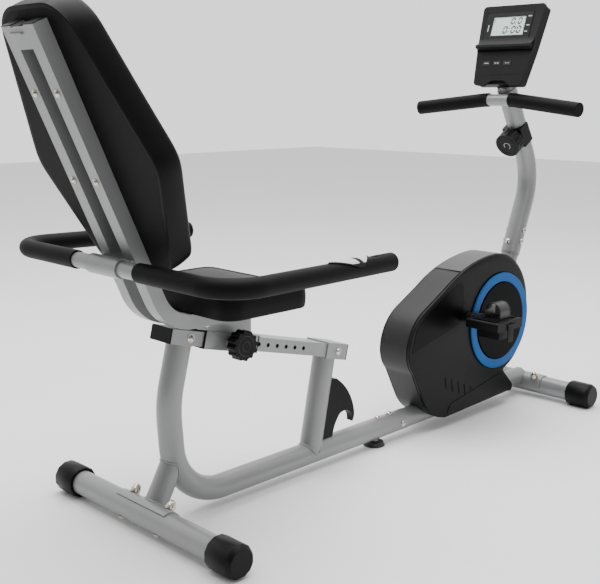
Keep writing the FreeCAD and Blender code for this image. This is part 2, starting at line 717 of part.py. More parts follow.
keep("console_back", cut_all("console_back_hollow", back_case, [back_room, bar_post_solid]))
lcd_glass = block(
    "lcd_glass", on_console(1.2, glass_y - glass_half_y, glass_z - glass_half_z),
    (5.0, 2 * glass_half_y, 2 * glass_half_z), CONSOLE.Rotation)
board = block("console_board", on_console(9.0, -58.0, 44.0), (1.6, 116.0, 134.0), CONSOLE.Rotation)
board_link = block(
    "console_board_link", on_console(6.1, glass_y - 40.0, glass_z - 20.0), (3.0, 80.0, 40.0),
    CONSOLE.Rotation)
keep("display_module", fuse("display", [lcd_glass, board, board_link]))
mount_plate = block(
    "mount_plate", on_console(28.1, -24.0, 30.0), (3.0, 48.0, 60.0), CONSOLE.Rotation)
post_end, post_out = Vector(1119.0, 0, 806.0), Vector(-126.0, 0, 220.0).normalize()
mount_tongue = cylinder(
    "mount_tongue", tuple(post_end - post_out * 22), tuple(post_out), Radius=21.8, Height=62.0)
mount_cut = block("mount_cut", on_console(-40, -60, 0), (68.1, 120.0, 130.0), CONSOLE.Rotation)
keep("console_bracket", cut("bracket_trim", fuse("bracket_solid", [
    mount_plate, mount_tongue]), mount_cut))
for tag, y in key_places:
    keep("console_key_%s" % tag, block(
        "key_%s" % tag, on_console(-1.0, y - key_half_y, keys_z - key_half_z),
        (7.5, 2 * key_half_y, 2 * key_half_z), CONSOLE.Rotation))

# ---------------------------------------------------------------- drive housing

house_edges = [
    ("line", (848, 26)), ("line", (1116, 36)), ("arc", (1133, 40), (1131, 55)),
    ("line", (1086, 100)), ("arc", (1166.5, 158.1), (1189, 262)),
    ("arc", (1147, 361), (1042, 404)), ("arc", (945, 389.5), (836.5, 341)),
    ("line", (760, 299.5)), ("arc", (722, 262), (706.5, 212)),
    ("arc", (711, 184), (727, 158)), ("line", (764, 87)), ("arc", (786, 57), (822, 33)),
]


def house_loop(edges):
    geometry, here = [], Vector(*edges[0][1], 0)
    for edge in edges[1:] + edges[:1]:
        goal = Vector(*edge[-1], 0)
        if edge[0] == "line":
            geometry.append(Part.LineSegment(here, goal))
        else:
            geometry.append(Part.Arc(here, Vector(*edge[1], 0), goal))
        here = goal
    return geometry


house_outline = doc.addObject("Sketcher::SketchObject", "house_outline")
house_outline.Placement = Placement(Vector(0, 0, 0), Rotation(X_AXIS, 90))
for edge in house_loop(house_edges):
    house_outline.addGeometry(edge, False)
house_inside = doc.addObject("Part::Offset2D", "house_inside")
house_inside.Source = house_outline
house_inside.Join = 0
house_inside.setExpression("Value", "-dims.house_wall")


def house_block(name, source, low_y, high_y):
    """The housing outline pushed along Y from low_y to high_y."""
    push = doc.addObject("Part::Extrusion", name)
    push.Base = source
    push.DirMode = "Custom"
    push.Dir = Y_AXIS
    push.Solid = True
    push.LengthFwd = high_y
    push.LengthRev = -low_y
    return push


half = dim("house_half")
wall = dim("house_wall")
seam_y = -half + dim("lid_depth")
house_shell = cut(
    "house_shell", house_block("house_solid", house_outline, -half, half),
    house_block("house_room", house_inside, -half + wall, half - wall))
beam_slot = cylinder(
    "beam_slot", (650, 0, beam_z(650)), tuple(BEAM_DIRECTION), Radius=25.0, Height=600.0)
beam_slot_low = block("beam_slot_low", (650, -25, -20), (600, 50, 56))
stub_slot = cylinder(
    "stub_slot", tuple(joint - post_line * 150), tuple(post_line), Radius=24.6, Height=260.0)
axle_slot = cylinder("axle_slot", (crank_x, -80, crank_z), (0, 1, 0), Radius=22.0, Height=160.0)
screw_places = ((862.0, 40.0), (1108.0, 49.0))
screw_holes = [
    cylinder("house_screw_hole_%d" % i, (x, -half - 5, z), (0, 1, 0), Radius=3.1, Height=20.0)
    for i, (x, z) in enumerate(screw_places)
]
house_open = cut_all(
    "house_open", house_shell, [beam_slot, beam_slot_low, stub_slot, axle_slot] + screw_holes)
right_side = block("house_right_side", (600, -80, -20), (700, 80 + seam_y, 500))
left_side = block("house_left_side", (600, seam_y + 0.2, -20), (700, 200, 500))
keep("housing_right", common("housing_right", [house_open, right_side]))
keep("housing_left", common("housing_left", [house_open, left_side]))


def ring(name, low_y, thickness, inner, outer):
    return cut(
        name,
        cylinder(name + "_disc", (crank_x, low_y, crank_z), (0, 1, 0), Radius=outer,
                 Height=thickness),
        cylinder(name + "_hole", (crank_x, low_y - 1, crank_z), (0, 1, 0), Radius=inner,
                 Height=thickness + 2))


ring_right = ring("ring_right", -half - 5.0, 4.95, "dims.ring_inner", "dims.ring_radius")
keep("trim_rings", bundle("trim_rings", [ring_right, mirrored("ring_left", ring_right)]))
keep("housing_screws", bundle("housing_screws", [
    cut("house_screw_cut_%d" % i,
        cylinder("house_screw_%d" % i, (x, -half - 1.0, z), (0, 1, 0), Radius=3.0, Height=22.0),
        block("screw_slot_%d" % i, (x - 4, -half - 2.0, z - 0.5), (8, 2.0, 1.0)))
    for i, (x, z) in enumerate(screw_places)]))

# ---------------------------------------------------------------- crank and drive

bearing = ring("bearing_right", -29.0, 9.0, 8.53, 16.98)
keep("crank_bearings", bundle("crank_bearings", [bearing, mirrored("bearing_left", bearing)]))
axle = cylinder("axle_bar", (crank_x, -64, crank_z), (0, 1, 0), Radius=8.5, Height=128.0)
axle_flange = cylinder("axle_flange", (crank_x, 31, crank_z), (0, 1, 0), Radius=14.0, Height=2.0)
axle_nuts = [
    cylinder("axle_nut_%d" % i, (crank_x, y, crank_z), (0, 1, 0), Radius=7.0, Height=3.5)
    for i, y in enumerate((-67.5, 64.0))
]
keep("crank_axle", fuse("crank_axle_solid", [axle, axle_flange] + axle_nuts))
pulley = cut_all(
    "pulley_cut",
    cylinder("pulley_disc", (crank_x, 33.1, crank_z), (0, 1, 0), Radius="dims.pulley_radius",
             Height=8.0),
    [cylinder("pulley_bore", (crank_x, 30, crank_z), (0, 1, 0), Radius=8.6, Height=20.0)])
keep("drive_pulley", pulley)

PEDAL_RISE = math.radians(12.5)
pedal_x = crank_x - dim("crank_length") * math.cos(PEDAL_RISE)
pedal_z = crank_z + dim("crank_length") * math.sin(PEDAL_RISE)
arm_line = Vector(pedal_x - crank_x, 0, pedal_z - crank_z).normalize()
arm_side = Vector(-arm_line.z, 0, arm_line.x)


def arm_point(along, across):
    spot = Vector(crank_x, 0, crank_z) + arm_line * along + arm_side * across
    return (spot.x, spot.z)


def crank_arm(name):
    """Right crank arm: a tapered bar with round ends, a pressed-in pedal axle."""
    outline = [
        arm_point(-17, -17) + (16,), arm_point(-17, 17) + (16,),
        arm_point(dim("crank_length") + 13, 12) + (11.5,),
        arm_point(dim("crank_length") + 13, -12) + (11.5,)]
    arm = slab(name + "_bar", [rounded(outline)], -64.0, 12.0)
    arm_bore = cylinder(
        name + "_bore", (crank_x, -90, crank_z), (0, 1, 0), Radius=8.55, Height=60.0)
    pedal_axle = cylinder(
        name + "_pedal_axle", (pedal_x, -64.5, pedal_z), (0, -1, 0), Radius=6.0, Height=96.0)
    axle_collar = cylinder(
        name + "_collar", (pedal_x, -60.0, pedal_z), (0, -1, 0), Radius=9.0, Height=8.0)
    return fuse(name, [cut(name + "_drilled", arm, arm_bore), pedal_axle, axle_collar])


arm_right = crank_arm("arm_right")
keep("crank_arm_right", arm_right)
arm_left_source = crank_arm("arm_left_source")
arm_mirror = mirrored("arm_left_mirror", arm_left_source)
arm_left = bundle("arm_left", [arm_mirror])
arm_left.Placement = Placement(
    Vector(2 * crank_x, 0, 2 * crank_z), Rotation(Y_AXIS, 180))
keep("crank_arm_left", arm_left)
disc_right = cut_all(
    "disc_right_cut",
    cylinder("disc_right_plate", (crank_x, -51.5, crank_z), (0, 1, 0), Radius=97.0, Height=5.0),
    [cylinder("disc_right_bore", (crank_x, -60, crank_z), (0, 1, 0), Radius=8.6, Height=20.0)])
keep("crank_discs", bundle("crank_discs", [disc_right, mirrored("disc_left", disc_right)]))


def pedal_shape(name, arched):
    """Right pedal round its axle: tread frame with a weight below, or its strap."""
    half_x, inner_y = dim("pedal_length") / 2, -81.0
    outer_y = inner_y - dim("pedal_width")
    if not arched:
        tread = slab(name + "_tread", [rounded([
            (pedal_x - half_x, pedal_z - 11, 4), (pedal_x + half_x, pedal_z - 11, 4),
            (pedal_x + half_x, pedal_z + 11, 5), (pedal_x - half_x, pedal_z + 11, 5)])],
            outer_y, "dims.pedal_width")
        weight = block(
            name + "_weight", (pedal_x - 24, outer_y + 14, pedal_z - 34), (48, 62, 24))
        bore = cylinder(
            name + "_bore", (pedal_x, -70, pedal_z), (0, -1, 0), Radius=6.06, Height=120.0)
        wells = [
            block("%s_well_%d" % (name, i), (pedal_x + dx, outer_y + 12, pedal_z - 12),
                  (22, 66, 40)) for i, dx in enumerate((-44, 22))
        ]
        return cut_all(name, fuse(name + "_solid", [tread, weight]), [bore] + wells)
    outer = rounded_arch(outer_y - 2.6, inner_y + 2.6, 58.0, 28.0)
    inner = rounded_arch(outer_y - 0.4, inner_y + 0.4, 55.8, 26.0)
    strap = cut(name + "_arch", arch_slab(name + "_outer", outer, 36.0), arch_slab(
        name + "_inner", inner, 40.0))
    eye = cylinder(name + "_eye", (pedal_x, -70, pedal_z), (0, -1, 0), Radius=6.3, Height=20.0)
    return cut(name, strap, eye)


def rounded_arch(low_y, high_y, rise, radius):
    """Arch outline in (y, z) that stands on the pedal's sides."""
    foot = pedal_z - 9.5
    return rounded([
        (low_y, foot, 0), (high_y, foot, 0),
        (high_y, pedal_z + rise, radius), (low_y, pedal_z + rise, radius)])


def arch_slab(name, outline, thickness):
    body = doc.addObject("PartDesign::Body", name)
    sketch = body.newObject("Sketcher::SketchObject", name + "_outline")
    plane = next(f for f in body.Origin.OriginFeatures if f.Role == "YZ_Plane")
    sketch.AttachmentSupport = [(plane, "")]
    sketch.MapMode = "FlatFace"
    sketch.AttachmentOffset = Placement(Vector(0, 0, pedal_x - thickness / 2), Rotation())
    for edge in outline:
        sketch.addGeometry(edge, False)
    pad = body.newObject("PartDesign::Pad", name + "_pad")
    pad.Profile = (sketch, [])
    bind(pad, Length=thickness)
    return body


def other_pedal(name, source):
    """The left piece: mirrored across the bike and moved to the far crank end, upright."""
    thing = bundle(name, [mirrored(name + "_mirror", source)])
    thing.Placement = Placement(
        Vector(2 * (crank_x - pedal_x), 0, 2 * (crank_z - pedal_z)), Rotation())
    return thing


for tag, arched in (("body", False), ("strap", True)):
    keep("pedal_%s_right" % tag, pedal_shape("pedal_%s_right" % tag, arched))
    keep("pedal_%s_left" % tag, other_pedal(
        "pedal_%s_left" % tag, pedal_shape("pedal_%s_source" % tag, arched)))

# Flywheel, its axle, the belt and the magnet bracket.
wheel = cylinder("wheel_disc", (wheel_x, -11, wheel_z), (0, 1, 0), Radius="dims.wheel_radius",
                 Height=22.0)
wheel_web = [
    cut("wheel_recess_%d" % i,
        cylinder("wheel_recess_out_%d" % i, (wheel_x, y, wheel_z), (0, 1, 0), Radius=56.0,
                 Height=9.0),
        cylinder("wheel_recess_in_%d" % i, (wheel_x, y - 1, wheel_z), (0, 1, 0), Radius=16.0,
                 Height=11.0))
    for i, y in enumerate((-12.0, 3.0))
]
wheel_hub = cylinder("wheel_hub", (wheel_x, 10, wheel_z), (0, 1, 0), Radius=12.0, Height=7.6)
wheel_bore = cylinder("wheel_bore", (wheel_x, -30, wheel_z), (0, 1, 0), Radius=5.05, Height=60.0)
wheel_whole = cut("flywheel_cut", fuse("flywheel_solid", [
    cut_all("flywheel_webbed", wheel, wheel_web), wheel_hub]), wheel_bore)
pinion = cut(
    "pinion_cut",
    cylinder("pinion_disc", (wheel_x, 22.0, wheel_z), (0, 1, 0), Radius="dims.pinion_radius",
             Height=19.0),
    cylinder("pinion_bore", (wheel_x, 20, wheel_z), (0, 1, 0), Radius=5.05, Height=30.0))
keep("flywheel", bundle("flywheel", [wheel_whole, pinion]))
wheel_axle = cylinder(
    "wheel_axle", (wheel_x, -25, wheel_z), (0, 1, 0), Radius=5.0, Height=66.5)
magnet_pin = cylinder(
    "magnet_pin", (pivot_x, -25, pivot_z), (0, 1, 0), Radius=4.0, Height=50.0)
keep("drive_axles", bundle("drive_axles", [wheel_axle, magnet_pin]))


def belt_loop(extra):
    """Outline of a loop round both pulleys, in X and Z."""
    big, small = dim("pulley_radius") + extra, dim("pinion_radius") + extra
    span = Vector(wheel_x - crank_x, wheel_z - crank_z, 0)
    heading = math.atan2(span.y, span.x)
    lean = math.acos((big - small) / span.Length)
    points = []
    for sign in (1, -1):
        angle = heading + sign * lean
        for centre, radius in (((crank_x, crank_z), big), ((wheel_x, wheel_z), small)):
            points.append(Vector(centre[0] + radius * math.cos(angle),
                                 centre[1] + radius * math.sin(angle), 0))
    far = Vector(crank_x - big * math.cos(heading), crank_z - big * math.sin(heading), 0)
    near = Vector(wheel_x + small * math.cos(heading), wheel_z + small * math.sin(heading), 0)
    return [
        Part.LineSegment(points[0], points[1]), Part.Arc(points[1], near, points[3]),
        Part.LineSegment(points[3], points[2]), Part.Arc(points[2], far, points[0])]


gap = dim("fit_gap")
keep("drive_belt", slab(
    "drive_belt", [belt_loop(gap + 2.0), belt_loop(gap)], 34.0, 6.0))



def around_wheel(radius, degrees):
    angle = math.radians(degrees)
    return Vector(wheel_x + radius * math.cos(angle), wheel_z + radius * math.sin(angle), 0)


def arc_band(inner, outer, first, last):
    middle = (first + last) / 2
    corners = [around_wheel(inner, first), around_wheel(inner, last),
               around_wheel(outer, last), around_wheel(outer, first)]
    return [
        Part.Arc(corners[0], around_wheel(inner, middle), corners[1]),
        Part.LineSegment(corners[1], corners[2]),
        Part.Arc(corners[2], around_wheel(outer, middle), corners[3]),
        Part.LineSegment(corners[3], corners[0])]


magnet_span = (62.0, 138.0)
magnet_inner = dim("wheel_radius") + 6.5
band_inner, band_outer = magnet_inner + 4.5, magnet_inner + 7.5
bracket_band = slab(
    "magnet_band", [arc_band(band_inner, band_outer, 50.0, magnet_span[1] + 3)], -14.0, 28.0)
pivot_lug = cylinder("magnet_lug", (pivot_x, -14, pivot_z), (0, 1, 0), Radius=8.0, Height=28.0)
pivot_bore = cylinder(
    "magnet_lug_bore", (pivot_x, -20, pivot_z), (0, 1, 0), Radius=4.05, Height=40.0)
lug_corners = [
    around_wheel(band_inner + 0.2, 50.0), around_wheel(band_inner + 0.2, 58.0),
    Vector(pivot_x + 2, pivot_z + 7.6, 0), Vector(pivot_x - 6, pivot_z - 4, 0)]
lug_link = slab(
    "magnet_link", [rounded([(c.x, c.y, 0) for c in lug_corners])], -14.0, 28.0)
magnets = [
    slab("magnet_%d" % i, [arc_band(magnet_inner, band_inner, first, first + 14.0)], -11.0, 22.0)
    for i, first in enumerate((62.0, 82.0, 102.0, 122.0))
]
keep("magnet_bracket", cut(
    "magnet_arm", fuse("magnet_arm_solid", [bracket_band, pivot_lug, lug_link] + magnets),
    pivot_bore))

# ---------------------------------------------------------------- seat rail

pin_station = 141.1
rail_solid = rail_block(
    "rail_solid", (0, -dim("rail_width") / 2, RAIL_LOW),
    ("dims.rail_length", "dims.rail_width", "dims.rail_height"))
rail_room = rail_block(
    "rail_room", (-5, -dim("rail_width") / 2 + dim("rail_wall"), RAIL_LOW + dim("rail_wall")),
    ("dims.rail_length + 10", "dims.rail_width - 2 * dims.rail_wall",
     "dims.rail_height - 2 * dims.rail_wall"))
rail_holes = [
    rail_cylinder("rail_hole_%d" % k, (pin_station + k * dim("hole_pitch"), -40, 0), (0, 1, 0),
                  Radius=4.4, Height=20.0)
    for k in range(9)
]
rail_bolt_holes = [
    rail_cylinder("rail_bolt_hole_%d" % i, (x, -50, 0), (0, 1, 0), Radius=4.1, Height=100.0)
    for i, x in enumerate((43.5, 446.5))
]
keep("seat_rail", cut_all("rail", rail_solid, [rail_room] + rail_holes + rail_bolt_holes))
plug_rear = fuse("plug_rear", [
    rail_block("plug_rear_plate", (-3.0, -30, RAIL_LOW), (2.95, 60, 28)),
    rail_block("plug_rear_core", (-0.5, -27.9, RAIL_LOW + 2.1), (18.5, 55.8, 23.8))])
plug_front = fuse("plug_front", [
    rail_block("plug_front_plate", (473.05, -33, RAIL_LOW - 3), (2.95, 66, 34)),
    rail_block("plug_front_core", (458.0, -27.9, RAIL_LOW + 2.1), (15.5, 55.8, 23.8))])
keep("rail_end_plugs", bundle("rail_end_plugs", [plug_rear, plug_front]))

beam_tops = [((x, 0, beam_z(x) + HALF_TUBE + 0.05), (0, 0, -1)) for x in (650.7, 691.3)]
side_tops = [((side_bolt_x, s * (HALF_TUBE + 0.05), beam_z(side_bolt_x)), (0, -s, 0))
             for s in (-1, 1)]
rail_side = [
    (tuple(on_rail(43.5, s * 30.05, 0)), tuple(rail_direction(0, -s, 0))) for s in (-1, 1)
] + [
    (tuple(on_rail(446.5, s * 33.05, 0)), tuple(rail_direction(0, -s, 0))) for s in (-1, 1)
]
keep("frame_bolts", bundle("frame_bolts", bolts(
    "frame_bolt", beam_tops + side_tops + post_bolt_places + rail_side, 4.0, 14.0, 6.8)))

hook_outline = [
    Part.LineSegment(Vector(461.5, 60.5, 0), Vector(486.5, 181.0, 0)),
    Part.Arc(Vector(486.5, 181.0, 0), Vector(497.5, 189.0, 0), Vector(511.0, 184.0, 0)),
    Part.Arc(Vector(511.0, 184.0, 0), Vector(545.0, 148.0, 0), Vector(562.5, 102.0, 0)),
    Part.Arc(Vector(562.5, 102.0, 0), Vector(562.0, 90.0, 0), Vector(557.0, 79.0, 0)),
    Part.Arc(Vector(557.0, 79.0, 0), Vector(541.0, 108.0, 0), Vector(515.0, 105.0, 0)),
    Part.Arc(Vector(515.0, 105.0, 0), Vector(501.0, 85.0, 0), Vector(493.0, 60.5, 0)),
    Part.LineSegment(Vector(493.0, 60.5, 0), Vector(461.5, 60.5, 0)),
]
hook_plate = slab("hook_plate", [hook_outline], -9.0, 18.0)
keep("accessory_hook", cut_all("hook", hook_plate, [cylinder(
    "hook_post_space", tuple(post_low), tuple(post_heading), Radius=HALF_TUBE + 0.1,
    Height=230.0), cylinder(
    "hook_beam_space", (300, 0, beam_z(300)), tuple(BEAM_DIRECTION), Radius=HALF_TUBE + 0.1,
    Height=300.0)]))

foot_pad = cone("foot_pad", (foot_x, 0, 0), (0, 0, 1), Radius1=25.0, Radius2=21.0, Height=9.0)
foot_stem = cylinder("foot_stem", (foot_x, 0, 8), (0, 0, 1), Radius=5.0, Height=22.0)
keep("levelling_foot", fuse("levelling_foot", [foot_pad, foot_stem]))

# ---------------------------------------------------------------- seat slider

slider_start = 77.0
grow = dim("slider_gap") + dim("slider_wall")
slider_outer = rail_block(
    "slider_outer", (slider_start, -30 - grow, RAIL_LOW - grow),
    ("dims.slider_length", 60 + 2 * grow, 28 + 2 * grow))
slider_inner = rail_block(
    "slider_inner", (slider_start - 5, -30 - dim("slider_gap"), RAIL_LOW - dim("slider_gap")),
    (150, 60 + 2 * dim("slider_gap"), 28 + 2 * dim("slider_gap")))
barrel_hole = rail_cylinder(
    "barrel_hole", (pin_station, -50, 0), (0, 1, 0), Radius=7.0, Height=30.0)
barrel_boss = cut(
    "barrel_boss_bored",
    rail_cylinder("barrel_boss", (pin_station, -41.0, 0), (0, 1, 0), Radius=12.0, Height=7.6),
    rail_cylinder("barrel_boss_hole", (pin_station, -50, 0), (0, 1, 0), Radius=7.0, Height=30.0))
keep("seat_slider", fuse("slider", [
    cut_all("slider_tube", slider_outer, [slider_inner, barrel_hole]), barrel_boss]))


def bush(name, start, length, flange_start):
    """A plastic bush between the slider and the rail, with a flange at the slider's end."""
    core = rail_block(
        name + "_core", (start, -31.45, RAIL_LOW - 1.45), (length, 62.9, 30.9))
    flange = rail_block(
        name + "_flange", (flange_start, -30 - grow, RAIL_LOW - grow),
        (2.5, 60 + 2 * grow, 28 + 2 * grow))
    room = rail_block(
        name + "_room", (start - 10, -30.3, RAIL_LOW - 0.3), (60, 60.6, 28.6))
    return cut(name, fuse(name + "_solid", [core, flange]), room)


keep("slider_bushes", bundle("slider_bushes", [
    bush("bush_rear", slider_start - 2, 32.0, slider_start - 2.55),
    bush("bush_front", slider_start + dim("slider_length") - 11.5, 12.0,
         slider_start + dim("slider_length") + 0.05)]))

SEAT_TUBE_LOW = 377.0
depth = dim("back_tube_depth")
slider_top_space = rail_block(
    "slider_top_space", (0, -80, RAIL_LOW - 60), (330, 160, 60 + 28 + grow + 0.05))
wedge_outline = [rounded([
    (138.0, 330.0, 0), (238.0, 320.0, 0), (238.0, SEAT_TUBE_LOW - 0.05, 0),
    (106.0, SEAT_TUBE_LOW - 0.05, 0), (106.0, 352.0, 0)])]
wedge_solid = slab("wedge_solid", wedge_outline, -33.0, 66.0)
wedge_room = slab("wedge_room", [rounded([
    (100.0, 300.0, 0), (245.0, 300.0, 0), (245.0, SEAT_TUBE_LOW - 3.0, 0),
    (100.0, SEAT_TUBE_LOW - 3.0, 0)])], -30.0, 60.0)
keep("seat_bracket", cut_all("seat_wedge", wedge_solid, [wedge_room, slider_top_space]))


def tube_profile(inset):
    """Side outline of a back tube: straight back, bend, then level under the seat."""
    up = math.radians(dim("back_angle"))
    top = BACK.multVec(Vector(inset, 0, 1.8))
    top_front = BACK.multVec(Vector(depth - inset, 0, 1.8))
    seat_end = 236.0
    low, high = SEAT_TUBE_LOW + inset, SEAT_TUBE_LOW + depth - inset
    back_slope = math.tan(up)

    def on_face(offset, height):
        """X of a tube face at a height; offset is measured square to the tube."""
        return -206.0 + offset / math.cos(up) + back_slope * (895.6 - height)

    outer_radius, inner_radius = 96.0 - inset, 96.0 - depth + inset
    return rounded([
        (top.x, top.z, 0), (top_front.x, top_front.z, 0),
        (on_face(depth - inset, high), high, inner_radius), (seat_end, high, 0),
        (seat_end, low, 0), (on_face(inset, low), low, outer_radius)])


def back_tube(name, middle_y):
    width = dim("back_tube_width")
    tube = slab(name + "_solid", [tube_profile(0.0)], middle_y - width / 2, "dims.back_tube_width")
    thin = dim("back_tube_wall")
    room = slab(
        name + "_room", [tube_profile(thin)], middle_y - width / 2 + thin,
        "dims.back_tube_width - 2 * dims.back_tube_wall")
    return cut(name, tube, room)


def back_block(name, corner, size):
    return block(name, tuple(on_back(*corner)), size, BACK.Rotation)


def back_cylinder(name, start, direction, **sizes):
    return cylinder(name, tuple(on_back(*start)), tuple(back_direction(*direction)), **sizes)


tube_y = dim("back_tube_y")
slot_half = tube_y - dim("back_tube_width") / 2
bridge = back_block("bridge", (0.0, -slot_half, -37.0), (depth, 2 * slot_half, 36.0))
bridge_room = back_block(
    "bridge_room", (3.0, -slot_half + 3, -34.0), (depth - 6, 2 * slot_half - 6, 40.0))
bridge_lip = back_block("bridge_lip", (-4.0, -10.0, -12.0), (4.2, 38.0, 3.0))
back_bolt_places = [
    (s * tube_y, z) for z in (-110.5, -266.5) for s in (-1, 1)
]
back_bolt_holes = [
    back_cylinder("back_bolt_hole_%d" % i, (-2, y, z), (1, 0, 0), Radius=4.1, Height=40.0)
    for i, (y, z) in enumerate(back_bolt_places)
]
seat_bolt_places = [(x, s * (tube_y + 7.5)) for x in (120.0, 205.0) for s in (-1, 1)]
seat_bolt_holes = [
    cylinder("seat_bolt_hole_%d" % i, (x, y, SEAT_TUBE_LOW - 2), (0, 0, 1), Radius=4.1,
             Height=40.0)
    for i, (x, y) in enumerate(seat_bolt_places)
]
keep("back_frame", cut_all("back_frame", fuse("back_frame_solid", [
    back_tube("back_tube_right", -tube_y), back_tube("back_tube_left", tube_y),
    cut("bridge_hollow", bridge, bridge_room), bridge_lip]), back_bolt_holes + seat_bolt_holes))
plug_blocks = []
for tag, side in (("right", -1), ("left", 1)):
    low_y = side * tube_y - dim("back_tube_width") / 2
    plug_blocks.append(fuse("tube_plug_%s" % tag, [
        back_block("tube_plug_top_%s" % tag, (0, low_y, 1.85), (depth, 29.0, 1.6)),
        back_block("tube_plug_core_%s" % tag, (1.9, low_y + 1.9, -12.0), (
            depth - 3.8, 25.2, 14.0))]))
    plug_blocks.append(fuse("tube_end_%s" % tag, [
        block("tube_end_top_%s" % tag, (236.05, low_y, SEAT_TUBE_LOW), (1.6, 29.0, depth)),
        block("tube_end_core_%s" % tag, (222.0, low_y + 1.9, SEAT_TUBE_LOW + 1.9), (
            14.2, 25.2, depth - 3.8))]))
keep("back_frame_plugs", bundle("back_frame_plugs", plug_blocks))

# ---------------------------------------------------------------- armrest

arm_x, arm_z = -60.0, 504.3
arm_end = Vector(341.0, 292.2, 499.4)
arm_corner = Vector(arm_x, 323.5, 504.8)
arm_path = route("arm_path", [
    ((arm_end.x, -arm_end.y, arm_end.z), 0),
    ((arm_corner.x, -arm_corner.y, arm_corner.z), 66),
    ((arm_corner.x, arm_corner.y, arm_corner.z), 66),
    (tuple(arm_end), 0),
])
arm_hollow = cut(
    "arm_hollow", bar("arm_outer", arm_path, "dims.bar_od / 2"),
    bar("arm_inner", arm_path, "dims.bar_od / 2 - dims.bar_wall"))
arm_bolt_hole = cylinder(
    "arm_bolt_hole", (arm_x, 0, arm_z - 25), (0, 0, 1), Radius=4.1, Height=20.0)
keep("armrest_tube", cut("armrest", arm_hollow, arm_bolt_hole))
socket_pipe = cut(
    "socket_pipe",
    cylinder("socket_outer", (arm_x, -46, arm_z + 0.4), (0, 1, 0), Radius=17.5, Height=92.0),
    cylinder("socket_inner", (arm_x, -50, arm_z + 0.4), (0, 1, 0), Radius="dims.bar_od / 2 + 0.6",
             Height=100.0))
frame_space = slab("frame_space", [tube_profile(-0.05)], -60.0, 120.0)
socket_blocks = [
    block("socket_block_%d" % i, (arm_x + 16.0, y - 12, arm_z - 12), (26.0, 24.0, 25.0))
    for i, y in enumerate((-tube_y, tube_y))
]
keep("armrest_socket", fuse("armrest_socket", [socket_pipe] + [
    cut("socket_block_cut_%d" % i, b, frame_space) for i, b in enumerate(socket_blocks)]))
arm_trim = block("arm_trim", (-200, 94.0, 400), (700, 400, 200))
arm_grip = foam_on("arm_grip", arm_path, "dims.foam_od / 2", arm_trim)
arm_heading = (arm_end - arm_corner).normalize()
arm_cap = cylinder(
    "arm_cap", tuple(arm_end), tuple(arm_heading),
    Radius="dims.foam_od / 2", Height=4.0)
sensor_start = arm_end - arm_heading * 108
sensor_space = block(
    "sensor_space", (sensor_start.x, arm_end.y - 9.5, arm_end.z + 16.0), (62.0, 33.0, 12.0),
    Rotation(Z_AXIS, -4.46))
arm_grip_left = cut("arm_grip_left", fuse("arm_grip_whole", [arm_grip, arm_cap]), sensor_space)
keep("armrest_grips", bundle("armrest_grips", [
    arm_grip_left, mirrored("arm_grip_right", arm_grip_left)]))
sensor_pod = block(
    "sensor_pod", (sensor_start.x + 0.2, arm_end.y - 8.5, arm_end.z + 16.0), (61.4, 31.0, 8.0),
    Rotation(Z_AXIS, -4.46))
sensor_core = cylinder(
    "sensor_core", tuple(sensor_start - arm_heading * 3), tuple(arm_heading),
    Radius="dims.foam_od / 2 + 4", Height=70.0)
sensor = common("sensor_left", [sensor_pod, sensor_core])
keep("pulse_sensors", bundle("pulse_sensors", [sensor, mirrored("sensor_right", sensor)]))

# ---------------------------------------------------------------- cushions

seat_x, seat_low = 81.0, SEAT_TUBE_LOW + depth + 0.3
seat_length, seat_width = dim("seat_length"), dim("seat_width")


def seat_outline(inset):
    return [rounded([
        (seat_x + inset, -seat_width / 2 + inset, 36 - inset),
        (seat_x + seat_length - inset, -seat_width / 2 + inset, 26 - inset),
        (seat_x + seat_length - inset, seat_width / 2 - inset, 26 - inset),
        (seat_x + inset, seat_width / 2 - inset, 36 - inset)])]


board_thick = dim("board_thick")
seat_pad = flat_slab(
    "seat_pad", seat_outline(0.0), seat_low, "dims.seat_thick")
seat_board_space = flat_slab(
    "seat_board_space", seat_outline(7.9), seat_low - 1.0, "dims.board_thick + 1.1")
keep("seat_cushion", cut("seat_cushion", seat_pad, seat_board_space))
seat_board = flat_slab("seat_board", seat_outline(8.0), seat_low, "dims.board_thick")


def shield(inset):
    """Outline of the back cushion in (y, along the back)."""
    half_top, half_mid, half_low = 88.0, 177.0, 104.0
    return rounded([
        (-half_low + inset, -446.0 + inset, 22 - inset / 2),
        (half_low - inset, -446.0 + inset, 22 - inset / 2),
        (half_mid + 4 - inset, -252.0, 70 - inset / 2),
        (half_top + 5 - inset, 24.0 - inset, 72 - inset / 2),
        (-half_top - 5 + inset, 24.0 - inset, 72 - inset / 2),
        (-half_mid - 4 + inset, -252.0, 70 - inset / 2)])


def back_slab(name, outline, low_x, thickness):
    body = doc.addObject("PartDesign::Body", name)
    sketch = body.newObject("Sketcher::SketchObject", name + "_outline")
    plane = next(f for f in body.Origin.OriginFeatures if f.Role == "YZ_Plane")
    sketch.AttachmentSupport = [(plane, "")]
    sketch.MapMode = "FlatFace"
    sketch.AttachmentOffset = Placement(Vector(0, 0, low_x), Rotation())
    for edge in outline:
        sketch.addGeometry(edge, False)
    pad = body.newObject("PartDesign::Pad", name + "_pad")
    pad.Profile = (sketch, [])
    bind(pad, Length=thickness)
    body.Placement = BACK
    return body


